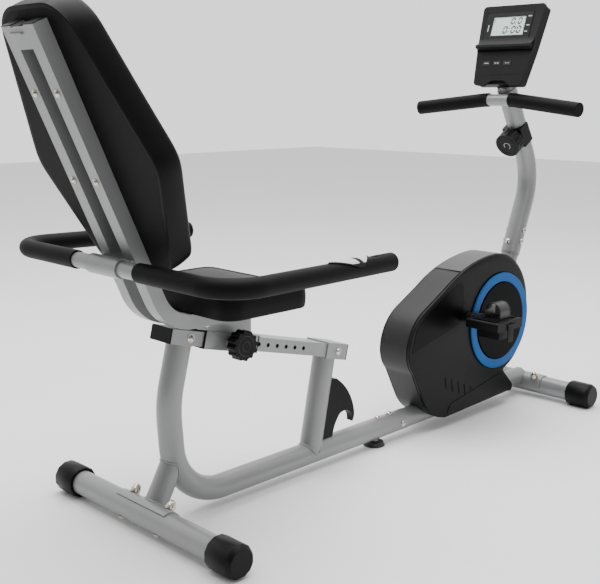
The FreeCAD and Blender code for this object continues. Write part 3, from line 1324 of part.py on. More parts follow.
back_low = depth + 0.3
back_pad = back_slab("back_pad", shield(0.0), back_low, "dims.back_thick")
back_board_space = back_slab(
    "back_board_space", shield(7.9), back_low - 1.0, "dims.board_thick + 1.1")
keep("back_cushion", cut("back_cushion", back_pad, back_board_space))
back_board = back_slab("back_board", shield(8.0), back_low, "dims.board_thick")
board_holes = [
    cylinder("board_hole_%d" % i, (x, y, seat_low - 2), (0, 0, 1), Radius=4.05, Height=10.0)
    for i, (x, y) in enumerate(seat_bolt_places)
] + [
    back_cylinder("board_back_hole_%d" % i, (back_low - 2, y, z), (1, 0, 0), Radius=4.05,
                  Height=10.0)
    for i, (y, z) in enumerate(back_bolt_places)
]
keep("cushion_boards", bundle("cushion_boards", [
    cut_all("seat_board_drilled", seat_board, board_holes[:4]),
    cut_all("back_board_drilled", back_board, board_holes[4:])]))
seat_fixings = [
    ((x, y, SEAT_TUBE_LOW - 0.05), (0, 0, 1)) for x, y in seat_bolt_places
] + [
    (tuple(on_back(-0.05, y, z)), tuple(back_direction(1, 0, 0))) for y, z in back_bolt_places
]
keep("cushion_bolts", bundle("cushion_bolts", bolts(
    "cushion_bolt", seat_fixings, 4.0, 33.5, 5.9)))

# ---------------------------------------------------------------- seat pin

barrel = cut(
    "pin_barrel_bored",
    rail_cylinder("pin_barrel_tube", (pin_station, -46.0, 0), (0, 1, 0), Radius=6.95,
                  Height=14.0),
    rail_cylinder("pin_barrel_bore", (pin_station, -50.0, 0), (0, 1, 0), Radius=4.05,
                  Height=30.0))
keep("pin_barrel", barrel)
pin_tip = -dim("rail_width") / 2 - 0.6
pin_rod = rail_cylinder(
    "pin_rod", (pin_station, -58.0, 0), (0, 1, 0), Radius=4.0, Height=58.0 + pin_tip)
knob_body = rail_cylinder(
    "knob_body", (pin_station, -76.0, 0), (0, 1, 0), Radius="dims.knob_radius", Height=23.0)
knob_flutes = [
    rail_cylinder("knob_flute_%d" % k, (
        pin_station + 32.5 * math.cos(math.radians(30 * k)), -80.0,
        32.5 * math.sin(math.radians(30 * k))), (0, 1, 0), Radius=6.6, Height=40.0)
    for k in range(12)
]
knob_neck = rail_cylinder(
    "knob_neck", (pin_station, -53.5, 0), (0, 1, 0), Radius=13.0, Height=2.5)
keep("seat_knob", fuse("seat_knob", [
    cut_all("knob_fluted", knob_body, knob_flutes), knob_neck, pin_rod]))

# ---------------------------------------------------------------- checks and export

doc.recompute()
for thing in doc.Objects:
    if "Invalid" in thing.State or "Error" in thing.State:
        raise RuntimeError("%s: %s" % (thing.Name, thing.State))
os.makedirs("parts", exist_ok=True)
whole = FreeCAD.BoundBox()
for thing in PARTS:
    shape = thing.Shape
    if shape.isNull() or not shape.isValid() or not shape.Solids:
        raise RuntimeError("%s has no valid solid" % thing.Label)
    whole.add(shape.BoundBox)
    shape.exportStep("parts/%s.step" % thing.Label)
    print("%-20s %d solids, %.1f cm3" % (
        thing.Label, len(shape.Solids), sum(s.Volume for s in shape.Solids) / 1000))
print("%d sub-parts, box %s" % (len(PARTS), whole))
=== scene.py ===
"""Looks of the recumbent exercise bike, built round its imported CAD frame."""

import json
import math

import bmesh
import bpy
from mathutils import Matrix, Vector
from mathutils.bvhtree import BVHTree


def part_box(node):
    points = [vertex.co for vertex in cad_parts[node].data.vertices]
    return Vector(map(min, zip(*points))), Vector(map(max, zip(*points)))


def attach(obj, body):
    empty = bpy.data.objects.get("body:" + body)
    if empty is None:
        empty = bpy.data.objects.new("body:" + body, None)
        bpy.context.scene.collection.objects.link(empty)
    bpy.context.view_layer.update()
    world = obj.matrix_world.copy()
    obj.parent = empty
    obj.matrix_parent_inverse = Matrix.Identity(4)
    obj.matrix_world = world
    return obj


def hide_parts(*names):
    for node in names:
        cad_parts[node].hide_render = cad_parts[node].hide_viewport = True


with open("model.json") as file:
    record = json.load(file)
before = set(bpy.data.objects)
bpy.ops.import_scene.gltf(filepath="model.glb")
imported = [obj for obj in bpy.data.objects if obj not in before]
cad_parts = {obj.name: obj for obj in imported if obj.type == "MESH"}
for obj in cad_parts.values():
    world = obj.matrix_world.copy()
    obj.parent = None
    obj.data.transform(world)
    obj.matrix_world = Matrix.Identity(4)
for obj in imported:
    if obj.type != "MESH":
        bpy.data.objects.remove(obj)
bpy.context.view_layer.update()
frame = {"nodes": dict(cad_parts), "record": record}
MM = 0.001
NODE_BODY = {
    node: body for body, nodes in frame["record"]["behaviour"]["bodies"].items() for node in nodes
}


def middle(node):
    low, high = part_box(node)
    return (low + high) / 2


ORIGIN_X = middle("rear_stabilizer").x


def bike(x, y, z):
    """A point in millimetres from the rear stabiliser's axis on the floor, in the frame."""
    return Vector((ORIGIN_X + x * MM, y * MM, z * MM))


def local(x, y, z, turn=0.0):
    """Millimetres in a place of its own, turned about Y, into the frame."""
    return (Matrix.Translation(bike(x, y, z)) @ Matrix.Rotation(math.radians(turn), 4, "Y")
            @ Matrix.Scale(MM, 4))


BIKE = local(0, 0, 0)
BACK = local(-206.0, 0, 895.6, -24.0)
CONSOLE = local(1073.0, 0, 813.8, 19.0)

# ---------------------------------------------------------------- materials


def surface(name, dark, light, grain=500.0, spread=5.0, rough=0.5, vary=0.08, metal=0.0,
            bump=0.2, depth=0.15, cells=False, coat=0.0, coat_rough=0.2, fleck=None,
            stretch=None, specular=0.5):
    """A material whose colour, roughness and relief come from noise at two scales."""
    material = bpy.data.materials.new(name)
    material.use_nodes = True
    nodes, links = material.node_tree.nodes, material.node_tree.links
    shader = nodes["Principled BSDF"]

    def add(kind, **values):
        node = nodes.new(kind)
        for key, value in values.items():
            node.inputs[key.replace("_", " ")].default_value = value
        return node

    place = nodes.new("ShaderNodeTexCoord")
    where = place.outputs["Object"]
    if stretch:
        mapping = add("ShaderNodeMapping", Scale=stretch)
        links.new(where, mapping.inputs["Vector"])
        where = mapping.outputs["Vector"]
    broad = add("ShaderNodeTexNoise", Scale=spread, Detail=3.0)
    fine = add("ShaderNodeTexNoise", Scale=grain, Detail=2.0)
    relief = fine
    if cells:
        relief = add("ShaderNodeTexVoronoi", Scale=grain * 0.7)
        relief.feature = "SMOOTH_F1"
        relief.inputs["Smoothness"].default_value = 0.35
    for texture in {broad, fine, relief}:
        links.new(where, texture.inputs["Vector"])
    height = relief.outputs["Distance" if cells else "Fac"]
    blend = nodes.new("ShaderNodeMath")
    blend.operation = "MULTIPLY_ADD"
    blend.inputs[1].default_value = 0.55
    shift = nodes.new("ShaderNodeMath")
    shift.operation = "MULTIPLY"
    shift.inputs[1].default_value = 0.45
    links.new(broad.outputs["Fac"], blend.inputs[0])
    links.new(fine.outputs["Fac"], shift.inputs[0])
    links.new(shift.outputs[0], blend.inputs[2])
    ramp = nodes.new("ShaderNodeValToRGB")
    ramp.color_ramp.elements[0].position, ramp.color_ramp.elements[1].position = 0.32, 0.68
    ramp.color_ramp.elements[0].color = (*dark, 1)
    ramp.color_ramp.elements[1].color = (*light, 1)
    links.new(blend.outputs[0], ramp.inputs["Fac"])
    colour = ramp.outputs["Color"]
    if fleck:
        spots = add("ShaderNodeTexNoise", Scale=grain * 2.2, Detail=1.0)
        links.new(where, spots.inputs["Vector"])
        gate = nodes.new("ShaderNodeValToRGB")
        gate.color_ramp.elements[0].position, gate.color_ramp.elements[1].position = 0.6, 0.72
        links.new(spots.outputs["Fac"], gate.inputs["Fac"])
        mix = nodes.new("ShaderNodeMix")
        mix.data_type = "RGBA"
        mix.inputs["B"].default_value = (*fleck, 1)
        links.new(gate.outputs["Color"], mix.inputs["Factor"])
        links.new(colour, mix.inputs["A"])
        colour = mix.outputs["Result"]
    links.new(colour, shader.inputs["Base Color"])
    span = nodes.new("ShaderNodeMapRange")
    span.inputs["To Min"].default_value = max(0.02, rough - vary)
    span.inputs["To Max"].default_value = min(1.0, rough + vary)
    links.new(blend.outputs[0], span.inputs["Value"])
    links.new(span.outputs["Result"], shader.inputs["Roughness"])
    lift = nodes.new("ShaderNodeBump")
    lift.inputs["Strength"].default_value = bump
    lift.inputs["Distance"].default_value = depth * MM
    links.new(height, lift.inputs["Height"])
    links.new(lift.outputs["Normal"], shader.inputs["Normal"])
    shader.inputs["Metallic"].default_value = metal
    shader.inputs["Coat Weight"].default_value = coat
    shader.inputs["Coat Roughness"].default_value = coat_rough
    shader.inputs["Specular IOR Level"].default_value = specular
    return material


def grey(level, tint=0.0):
    return (level * (1 - tint), level, level * (1 + tint))


LOOKS = {
    "frame_paint": surface(
        "silver_paint", grey(0.21, 0.01), grey(0.27, 0.01), grain=1400, spread=4, rough=0.38,
        vary=0.05, metal=0.3, bump=0.12, depth=0.05, coat=0.15, coat_rough=0.3,
        fleck=grey(0.42)),
    "black_plastic": surface(
        "black_plastic", grey(0.003, 0.02), grey(0.006, 0.02), grain=900, spread=9, rough=0.42,
        vary=0.1, bump=0.35, depth=0.12, fleck=grey(0.016), specular=0.13),
    "housing": surface(
        "housing_plastic", grey(0.003, 0.02), grey(0.005, 0.02), grain=620, spread=5, rough=0.4,
        vary=0.08, bump=0.5, depth=0.2, fleck=grey(0.02), specular=0.12),
    # Lighter copy of the housing plastic with bright flecks: painted highlight where the top band
    # catches the light from above.
    "housing_top": surface(
        "housing_top", grey(0.045), grey(0.085), grain=620, spread=5, rough=0.4, vary=0.08,
        bump=0.5, depth=0.2, fleck=grey(0.22), specular=0.3),
    # Lighter copy of the housing plastic with brighter flecks: painted sheen on the rear band; its
    # grain relief is the same as the housing's.
    "housing_grain_painted_sheen": surface(
        "housing_grain_painted_sheen", grey(0.008), grey(0.018), grain=620, spread=5, rough=0.4, vary=0.08,
        bump=0.5, depth=0.2, fleck=grey(0.07), specular=0.25),
    # Real darker plastic of the housing's brand panel, also used to paint shade: the vent slots
    # and the shadow strip under the console ledge.
    "panel": surface(
        "panel_plastic", grey(0.001), grey(0.002), grain=900, spread=8, rough=0.3, vary=0.05,
        bump=0.15, depth=0.06, specular=0.07),
    "disc": surface(
        "disc_plastic", grey(0.001, 0.05), grey(0.003, 0.05), grain=520, spread=10, rough=0.5,
        vary=0.08, bump=0.3, depth=0.12, specular=0.05),
    "console_plastic": surface(
        "console_plastic", grey(0.008), grey(0.013), grain=1500, spread=12, rough=0.5, vary=0.06,
        bump=0.35, depth=0.08, fleck=grey(0.024), specular=0.12),
    "console_lens": surface(
        "console_lens", grey(0.010), grey(0.014), grain=1200, spread=10, rough=0.3, vary=0.04,
        bump=0.05, depth=0.03, specular=0.25),
    "key_plastic": surface(
        "key_plastic", grey(0.016), grey(0.024), grain=1400, spread=30, rough=0.5, vary=0.08,
        bump=0.3, depth=0.06, specular=0.25),
    "display": surface(
        "liquid_crystal", (0.66, 0.80, 0.77), (0.74, 0.87, 0.84), grain=1800, spread=14,
        rough=0.16, vary=0.03, bump=0.03, depth=0.02, coat=0.5, coat_rough=0.05),
    "segments": surface(
        "segments", (0.004, 0.007, 0.010), (0.008, 0.012, 0.016), grain=1500, spread=40, rough=0.3,
        vary=0.05, bump=0.05, depth=0.02),
    "print": surface(
        "white_print", grey(0.42), grey(0.56), grain=1600, spread=60, rough=0.5, vary=0.08,
        bump=0.1, depth=0.02),
    "ring_blue": surface(
        "blue_trim", (0.0, 0.075, 0.27), (0.0, 0.10, 0.34), grain=700, spread=7, rough=0.4,
        vary=0.05, bump=0.12, depth=0.05, specular=0.15),
    "strap_grey": surface(
        "strap_satin", grey(0.012), grey(0.022), grain=500, spread=20, rough=0.3, vary=0.08,
        bump=0.25, depth=0.08, coat=0.2, coat_rough=0.25, stretch=(1.0, 0.15, 0.15),
        specular=0.3),
    "foam": surface(
        "foam_grip", grey(0.001), grey(0.003), grain=1100, spread=12, rough=0.6, vary=0.1,
        bump=0.6, depth=0.2, cells=True, specular=0.12),
    "leather_black": surface(
        "leather_black", grey(0.0015), grey(0.003), grain=620, spread=9, rough=0.42, vary=0.1,
        bump=0.5, depth=0.2, cells=True, specular=0.1),
    "leather_back": surface(
        "leather_panel", grey(0.003), grey(0.007), grain=520, spread=7, rough=0.6, vary=0.08,
        bump=0.6, depth=0.25, cells=True, specular=0.1),
    "plywood": surface(
        "plywood", (0.36, 0.23, 0.12), (0.52, 0.36, 0.20), grain=220, spread=14, rough=0.6,
        vary=0.08, bump=0.3, depth=0.1, stretch=(1.0, 0.12, 1.0)),
    "bright_steel": surface(
        "bright_steel", (0.48, 0.44, 0.39), (0.66, 0.61, 0.55), grain=1200, spread=60, rough=0.2,
        vary=0.07, metal=1.0, bump=0.08, depth=0.03),
    "arm_paint": surface(
        "arm_paint", grey(0.004), grey(0.008), grain=900, spread=12, rough=0.4, vary=0.08,
        bump=0.15, depth=0.06, specular=0.25),
    "contact_chrome": surface(
        "contact_chrome", grey(0.72), grey(0.82), grain=900, spread=30, rough=0.16, vary=0.04,
        metal=0.6, bump=0.04, depth=0.02),
    "machined_steel": surface(
        "machined_steel", grey(0.30), grey(0.46), grain=900, spread=25, rough=0.34, vary=0.1,
        metal=1.0, bump=0.15, depth=0.04, stretch=(1.0, 6.0, 1.0)),
    "cast_iron": surface(
        "cast_iron", grey(0.10), grey(0.18), grain=500, spread=30, rough=0.5, vary=0.12,
        metal=0.8, bump=0.4, depth=0.1),
    "belt_rubber": surface(
        "belt_rubber", grey(0.010), grey(0.018), grain=800, spread=30, rough=0.65, vary=0.1,
        bump=0.5, depth=0.1, stretch=(0.2, 3.0, 0.2)),
    "foot_rubber": surface(
        "foot_rubber", grey(0.012), grey(0.022), grain=700, spread=30, rough=0.6, vary=0.1,
        bump=0.4, depth=0.12),
}
LOOK_OF_NODE = {"crank_discs": "disc", "crank_arm_right": "arm_paint",
                "crank_arm_left": "arm_paint"}

SLOT_OF_NODE = {}
for node, thing in frame["nodes"].items():
    SLOT_OF_NODE[node] = thing.material_slots[0].material.name.split(".")[0]
for node, thing in frame["nodes"].items():
    thing.material_slots[0].material = LOOKS[LOOK_OF_NODE.get(node, SLOT_OF_NODE[node])]

# ---------------------------------------------------------------- mesh helpers

EDGE_STEPS, EDGE_ANGLE = 2, 35.0
FLAT_ANGLE, WELD_DISTANCE = 0.4, 2e-6


def link(name, mesh, look, body, replaced=(), smooth=40.0):
    """Adds a piece to the scene: its material, its body and the CAD nodes it stands for."""
    thing = bpy.data.objects.new(name, mesh)
    bpy.context.scene.collection.objects.link(thing)
    mesh.materials.clear()
    mesh.materials.append(LOOKS[look])
    mesh.shade_smooth()
    mesh.set_sharp_from_angle(angle=math.radians(smooth))
    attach(thing, body)
    if replaced:
        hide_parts(*replaced)
    return thing


def settled(thing):
    """Applies a piece's modifiers, so that its mesh is its final shape."""
    graph = bpy.context.evaluated_depsgraph_get()
    mesh = bpy.data.meshes.new_from_object(thing.evaluated_get(graph), depsgraph=graph)
    thing.modifiers.clear()
    thing.data = mesh
    return mesh


def soften(thing, width):
    """Rounds a piece's sharp edges by a width in millimetres."""
    bevel = thing.modifiers.new("edges", "BEVEL")
    bevel.width = width * MM
    bevel.segments = EDGE_STEPS
    bevel.limit_method = "ANGLE"
    bevel.angle_limit = math.radians(EDGE_ANGLE)
    bevel.harden_normals = True
    bevel.use_clamp_overlap = True
    settled(thing)
    return thing


def merged(node):
    """A node's mesh as one closed surface, its coincident points welded."""
    shape = bmesh.new()
    shape.from_mesh(frame["nodes"][node].data)
    bmesh.ops.remove_doubles(shape, verts=shape.verts, dist=WELD_DISTANCE)
    return shape


def refined(node, width):
    """A node drawn again with rounded edges."""
    shape = merged(node)
    bmesh.ops.dissolve_limit(
        shape, angle_limit=math.radians(FLAT_ANGLE), verts=shape.verts, edges=shape.edges)
    mesh = bpy.data.meshes.new(node + "_finish")
    shape.to_mesh(mesh)
    shape.free()
    look = LOOK_OF_NODE.get(node, SLOT_OF_NODE[node])
    thing = link(node + "_finish", mesh, look, NODE_BODY[node], [node])
    return soften(thing, width)


def mesh_of(name, points, faces, place):
    mesh = bpy.data.meshes.new(name)
    mesh.from_pydata([place @ Vector(p) for p in points], [], faces)
    shape = bmesh.new()
    shape.from_mesh(mesh)
    bmesh.ops.recalc_face_normals(shape, faces=shape.faces)
    shape.to_mesh(mesh)
    shape.free()
    return mesh


def prisms(name, loops, low, high, axis, place, look, body, width=0.3, replaced=()):
    """Loops of two local coordinates pushed along the third, as one piece."""
    points, faces = [], []
    for loop in loops:
        start, count = len(points), len(loop)
        for level in (low, high):
            for u, v in loop:
                spot = [u, v]
                spot.insert(axis, level)
                points.append(spot)
        faces.append([start + i for i in range(count)])
        faces.append([start + count + i for i in reversed(range(count))])
        for i in range(count):
            j = (i + 1) % count
            faces.append([start + i, start + j, start + count + j, start + count + i])
    thing = link(name, mesh_of(name, points, faces, place), look, body, replaced)
    return soften(thing, width) if width else thing


def rounded_loop(corners, steps=6):
    """Points round a polygon of (u, v, radius) corners."""
    loop, count = [], len(corners)
    for i, (u, v, radius) in enumerate(corners):
        here = Vector((u, v))
        before = (Vector(corners[i - 1][:2]) - here).normalized()
        after = (Vector(corners[(i + 1) % count][:2]) - here).normalized()
        half = before.angle(after) / 2
        if radius <= 0:
            loop.append((u, v))
            continue
        centre = here + (before + after).normalized() * (radius / math.sin(half))
        first = here + before * (radius / math.tan(half)) - centre
        last = here + after * (radius / math.tan(half)) - centre
        for k in range(steps + 1):
            mix = first.lerp(last, k / steps).normalized() * radius
            loop.append(tuple(centre + mix))
    return loop


def box_loop(u, v, half_u, half_v, radius=0.0, slant=0.0):
    """A rectangle about (u, v), leaning by slant for each unit up."""
    corners = [(-half_u, -half_v), (half_u, -half_v), (half_u, half_v), (-half_u, half_v)]
    return rounded_loop([(u + a + slant * b, v + b, radius) for a, b in corners], 3)


def lathe(name, profile, centre, axis, look, body, steps):
    """Turns (radius, height) points about an axis through a bike point."""
    turn = Vector(axis).normalized().to_track_quat("Z", "Y").to_matrix().to_4x4()
    place = Matrix.Translation(bike(*centre)) @ turn @ Matrix.Scale(MM, 4)
    points, faces, count = [], [], len(profile)
    for k in range(steps):
        angle = 2 * math.pi * k / steps
        points += [(r * math.cos(angle), r * math.sin(angle), h) for r, h in profile]
    for k in range(steps):
        here, there = k * count, (k + 1) % steps * count
        for i in range(count):
            j = (i + 1) % count
            faces.append([here + i, here + j, there + j, there + i])
    return link(name, mesh_of(name, points, faces, place), look, body)


def tube(name, path, radius, look, body, sides=10, closed=True):
    """A round tube, its radius in millimetres, along points of the frame in metres."""
    points, faces, count = [], [], len(path)
    last_side = None
    for i, here in enumerate(path):
        before = path[i - 1] if closed or i else here
        after = path[(i + 1) % count] if closed or i < count - 1 else here
        along = (after - before).normalized()
        side = last_side - along * last_side.dot(along) if last_side else along.orthogonal()
        side.normalize()
        last_side = side
        up = along.cross(side)
        for k in range(sides):
            a = 2 * math.pi * k / sides
            points.append(here + (side * math.cos(a) + up * math.sin(a)) * radius * MM)
    shift = 0
    if closed:
        gaps = [(points[(count - 1) * sides + k] - points[0]).length for k in range(sides)]
        shift = gaps.index(min(gaps))
    for i in range(count if closed else count - 1):
        j = (i + 1) % count
        turn = shift if closed and j == 0 else 0
        for k in range(sides):
            m = (k + 1) % sides
            faces.append([i * sides + (k + turn) % sides, i * sides + (m + turn) % sides,
                          j * sides + m, j * sides + k])
    if not closed:
        faces.append(list(range(sides)))
        faces.append([(count - 1) * sides + k for k in reversed(range(sides))])
    return link(name, mesh_of(name, points, faces, Matrix.Identity(4)), look, body)


def loops_on_plane(node, place, axis, level):
    """Loops of (u, v) round a node's flat face on a local plane, longest first."""
    shape = merged(node)
    back = place.inverted()
    where = {v: back @ v.co for v in shape.verts}
    flat = {f for f in shape.faces if all(abs(where[v][axis] - level) < 0.02 for v in f.verts)}
    ends = {}
    for edge in shape.edges:
        if sum(f in flat for f in edge.link_faces) == 1:
            for v in edge.verts:
                ends.setdefault(v, []).append(edge.other_vert(v))
    loops, left = [], set(ends)
    while left:
        start = here = min(left, key=lambda v: (where[v][0], where[v][1], where[v][2]))
        loop, last = [], None
        while here in left:
            left.discard(here)
            spot = list(where[here])
            spot.pop(axis)
            loop.append(tuple(spot))
            onward = [v for v in ends[here] if v is not last and v in left]
            last, here = here, (onward[0] if onward else start)
        loops.append(loop)
    shape.free()
    return sorted(loops, key=lambda loop: -len_of(loop))


def len_of(loop):
    return sum(math.dist(loop[i - 1], loop[i]) for i in range(len(loop)))


def evened(loop, count):
    """The same closed loop as evenly spaced points."""
    total, spots, i, run = len_of(loop), [], 0, 0.0
    for k in range(count):
        goal = total * k / count
        while run + math.dist(loop[i % len(loop)], loop[(i + 1) % len(loop)]) < goal:
            run += math.dist(loop[i % len(loop)], loop[(i + 1) % len(loop)])
            i += 1
        a, b = Vector(loop[i % len(loop)]), Vector(loop[(i + 1) % len(loop)])
        spots.append(tuple(a.lerp(b, (goal - run) / max((b - a).length, 1e-9))))
    return spots


# ---------------------------------------------------------------- refined hard parts

FINE_EDGES = {
    "seat_rail": 1.2, "seat_slider": 1.2, "seat_bracket": 0.8, "stabilizer_saddles": 0.6,
    "stabilizer_caps": 0.9, "rail_end_plugs": 0.7, "accessory_hook": 2.2, "dial_bracket": 1.6,
    "console_back": 2.0, "console_bracket": 0.8, "seat_knob": 1.2, "resistance_dial": 1.4,
    "crank_arm_right": 1.4, "crank_arm_left": 1.4, "back_frame_plugs": 0.6,
    "pedal_body_right": 1.2, "pedal_body_left": 1.2, "crank_discs": 0.8, "back_frame": 1.6,
    "armrest_socket": 0.8, "handlebar_grips": 2.2, "armrest_grips": 2.2, "console_front": 1.2,
    "console_key_left": 0.8, "console_key_middle": 0.8, "console_key_right": 0.8,
    "trim_rings": 2.0, "stabilizer_bolts": 0.5, "frame_bolts": 0.5,
    "cushion_bolts": 0.5,
}
for node, width in FINE_EDGES.items():
    refined(node, width)

# ---------------------------------------------------------------- welds, nuts and marks

BEAD_STEPS, BEAD_REACH, BEAD_RIPPLE = 64, 0.3, 0.35


def weld(name, start, heading, radius, target, thick=2.0):
    """A weld bead where a round tube, followed from a start point, meets another node."""
    shape = merged(target)
    tree = BVHTree.FromBMesh(shape)
    shape.free()
    along = Vector(heading).normalized()
    side = along.orthogonal().normalized()
    up = along.cross(side)
    path = []
    for k in range(BEAD_STEPS):
        a = 2 * math.pi * k / BEAD_STEPS
        edge = bike(*start) + (side * math.cos(a) + up * math.sin(a)) * radius * MM
        hit = tree.ray_cast(edge, along, BEAD_REACH)[0]
        if hit:
            path.append(hit + (edge - bike(*start)).normalized() * 0.4 * MM)
    ripple = [p - along * BEAD_RIPPLE * MM * (1 + math.sin(9 * k)) for k, p in enumerate(path)]
    tube(name, ripple, thick, "frame_paint", "frame")


TUBE_RADIUS, LINK_RADIUS, LINK_MIDDLE = 24.0, 22.25, (42.0, 0, 73.3)
weld("weld_post_beam", (455.0, 0, 155.0), (-43.5, 0, -211.0), TUBE_RADIUS, "rear_main_tube", 2.4)
weld("weld_link_upright", LINK_MIDDLE, (0.489, 0, 0.873), LINK_RADIUS, "rear_main_tube")
weld("weld_upright_rail", (75.0, 0, 290.0), (33.2, 0, 128.6), TUBE_RADIUS, "seat_rail")
weld("weld_link_saddle", LINK_MIDDLE, (-0.489, 0, -0.873), LINK_RADIUS, "stabilizer_saddles")

STAB_Z = middle("rear_stabilizer").z / MM
FRONT_X = (middle("front_stabilizer").x - ORIGIN_X) / MM
NUT_Y, NUT_SEAT = 54.5, 27.4
NUT = [(0.05, 0), (9.6, 0), (9.6, 7.0), (8.8, 8.2), (8.0, 11.5), (6.2, 14.8), (3.4, 16.8),
       (0.05, 17.4)]
for spot_x, lean, end in ((0.0, 55.0, "rear"), (FRONT_X, 125.0, "front")):
    for y, tag in ((-NUT_Y, "right"), (NUT_Y, "left")):
        out = Vector((math.cos(math.radians(lean)), 0, math.sin(math.radians(lean))))
        lathe("dome_nut_%s_%s" % (end, tag), NUT,
              Vector((spot_x, y, STAB_Z)) + out * NUT_SEAT, out, "bright_steel", "frame", 24)

MARK_STEPS, MARK_RADIUS = 48, 0.7


def arc_mark(name, node, joint, outward, radius, start, end, look, body):
    """A raised arc on the face of a knob that turns about a joint's axis."""
    row = [j for j in frame["record"]["behaviour"]["joints"] if j["name"] == joint][0]
    out = Vector(row["axis"]).normalized() * outward
    shape = merged(node)
    spot = Vector(row["pos_m"])
    spot += out * max((v.co - spot).dot(out) for v in shape.verts)
    shape.free()
    side = Vector((0, 0, 1)).cross(out).normalized()
    up = out.cross(side)
    full = end - start >= 360
    steps = MARK_STEPS if full else MARK_STEPS - 1
    path = []
    for k in range(MARK_STEPS):
        a = math.radians(start + (end - start) * k / steps)
        path.append(spot + (side * math.cos(a) + up * math.sin(a)) * radius * MM)
    tube(name, path, MARK_RADIUS, look, body, 8, full)


arc_mark("dial_arrow", "resistance_dial", "dial_turn", 1, 8.5, -60, 210, "print", "dial")
arc_mark("dial_rim_ring", "resistance_dial", "dial_turn", 1, 24.0, 0, 360, "black_plastic",
         "dial")
arc_mark("knob_ring_outer", "seat_knob", "seat_pin_pull", -1, 19.0, 0, 360, "strap_grey", "knob")
arc_mark("knob_ring_inner", "seat_knob", "seat_pin_pull", -1, 9.0, 0, 360, "strap_grey", "knob")

# ---------------------------------------------------------------- pulse sensors

ARM_END, ARM_CORNER = Vector((341.0, 292.2, 499.4)), Vector((-60.0, 323.5, 504.8))
POD_NEAR, POD_FAR, POD_ANGLE, POD_OUTER, POD_INNER = 66.0, 174.0, 76.0, 19.0, 16.0
PLATE_ANGLES, PLATE_INSET, PLATE_OUTER, PLATE_INNER = range(-50, 51, 4), 5.0, 19.5, 18.6


def armrest_shell(name, side, lines, outer, inner, look, replaced=()):
    """A plate curved round the armrest: each line is (angle, start, end) along the bar."""
    along = (ARM_END - ARM_CORNER).normalized()
    across = Vector((0, 0, 1)).cross(along).normalized()
    rise = along.cross(across)
    rows, columns = len(lines), 10
    points, faces = [], []
    for level in (outer, inner):
        for angle, start, end in lines:
            a = math.radians(angle)
            out = (across * math.sin(a) + rise * math.cos(a)) * level
            for k in range(columns + 1):
                spot = ARM_END - along * (start + (end - start) * k / columns) + out
                points.append((spot.x, side * spot.y, spot.z))
    wide = columns + 1
    base = rows * wide
    for i in range(rows - 1):
        for k in range(columns):
            quad = [i * wide + k, i * wide + k + 1, (i + 1) * wide + k + 1, (i + 1) * wide + k]
            faces.append(quad)
            faces.append([base + q for q in reversed(quad)])
    border = ([k for k in range(columns)] + [i * wide + columns for i in range(rows - 1)]
              + [(rows - 1) * wide + k for k in range(columns, 0, -1)]
              + [i * wide for i in range(rows - 1, 0, -1)])
    for k in range(len(border)):
        a, b = border[k], border[(k + 1) % len(border)]
        faces.append([a, b, base + b, base + a])
    return link(name, mesh_of(name, points, faces, BIKE), look, "seat", replaced)


def eye(angle, inset=0.0):
    """Front and rear ends of the eye-shaped sensor pod at an angle round the bar."""
    part = (abs(angle) / POD_ANGLE) ** 1.2
    return POD_NEAR + inset + 31 * part, POD_FAR - 1.4 * inset - 69 * part


for side, tag in ((-1, "right"), (1, "left")):
    armrest_shell("sensor_pod_" + tag, side, [(a,) + eye(a) for a in range(-74, 75, 4)],
                  POD_OUTER, POD_INNER, "black_plastic", ["pulse_sensors"] if side < 0 else [])
    armrest_shell("contact_front_" + tag, side, [
        (a, eye(a, PLATE_INSET)[0], 101 - 0.09 * a) for a in PLATE_ANGLES],
        PLATE_OUTER, PLATE_INNER, "contact_chrome")
    armrest_shell("contact_rear_" + tag, side, [
        (a, 114 - 0.14 * a, eye(a, PLATE_INSET)[1]) for a in PLATE_ANGLES],
        PLATE_OUTER, PLATE_INNER, "contact_chrome")

# ---------------------------------------------------------------- pedals


STRAP_OFF_X, STRAP_OFF_Y, STRAP_RISE, STRAP_HALF, STRAP_RADIUS = 4.0, 5.0, 28.0, 20.5, 22.0
STRAP_THICK, TREAD_DROP, SHELF_Y = 2.2, 11.0, 45.0


def hoop(side, radius, base):
    """An arch across the tread, open towards the heel, as (y, z) points."""
    middle_y = side * STRAP_OFF_Y
    arc = [math.radians(180 * k / 20) for k in range(21)]
    return ([(middle_y - side * radius, base)]
            + [(middle_y - side * radius * math.cos(a), STRAP_RISE + radius * math.sin(a))
               for a in arc]
            + [(middle_y + side * radius, base)])


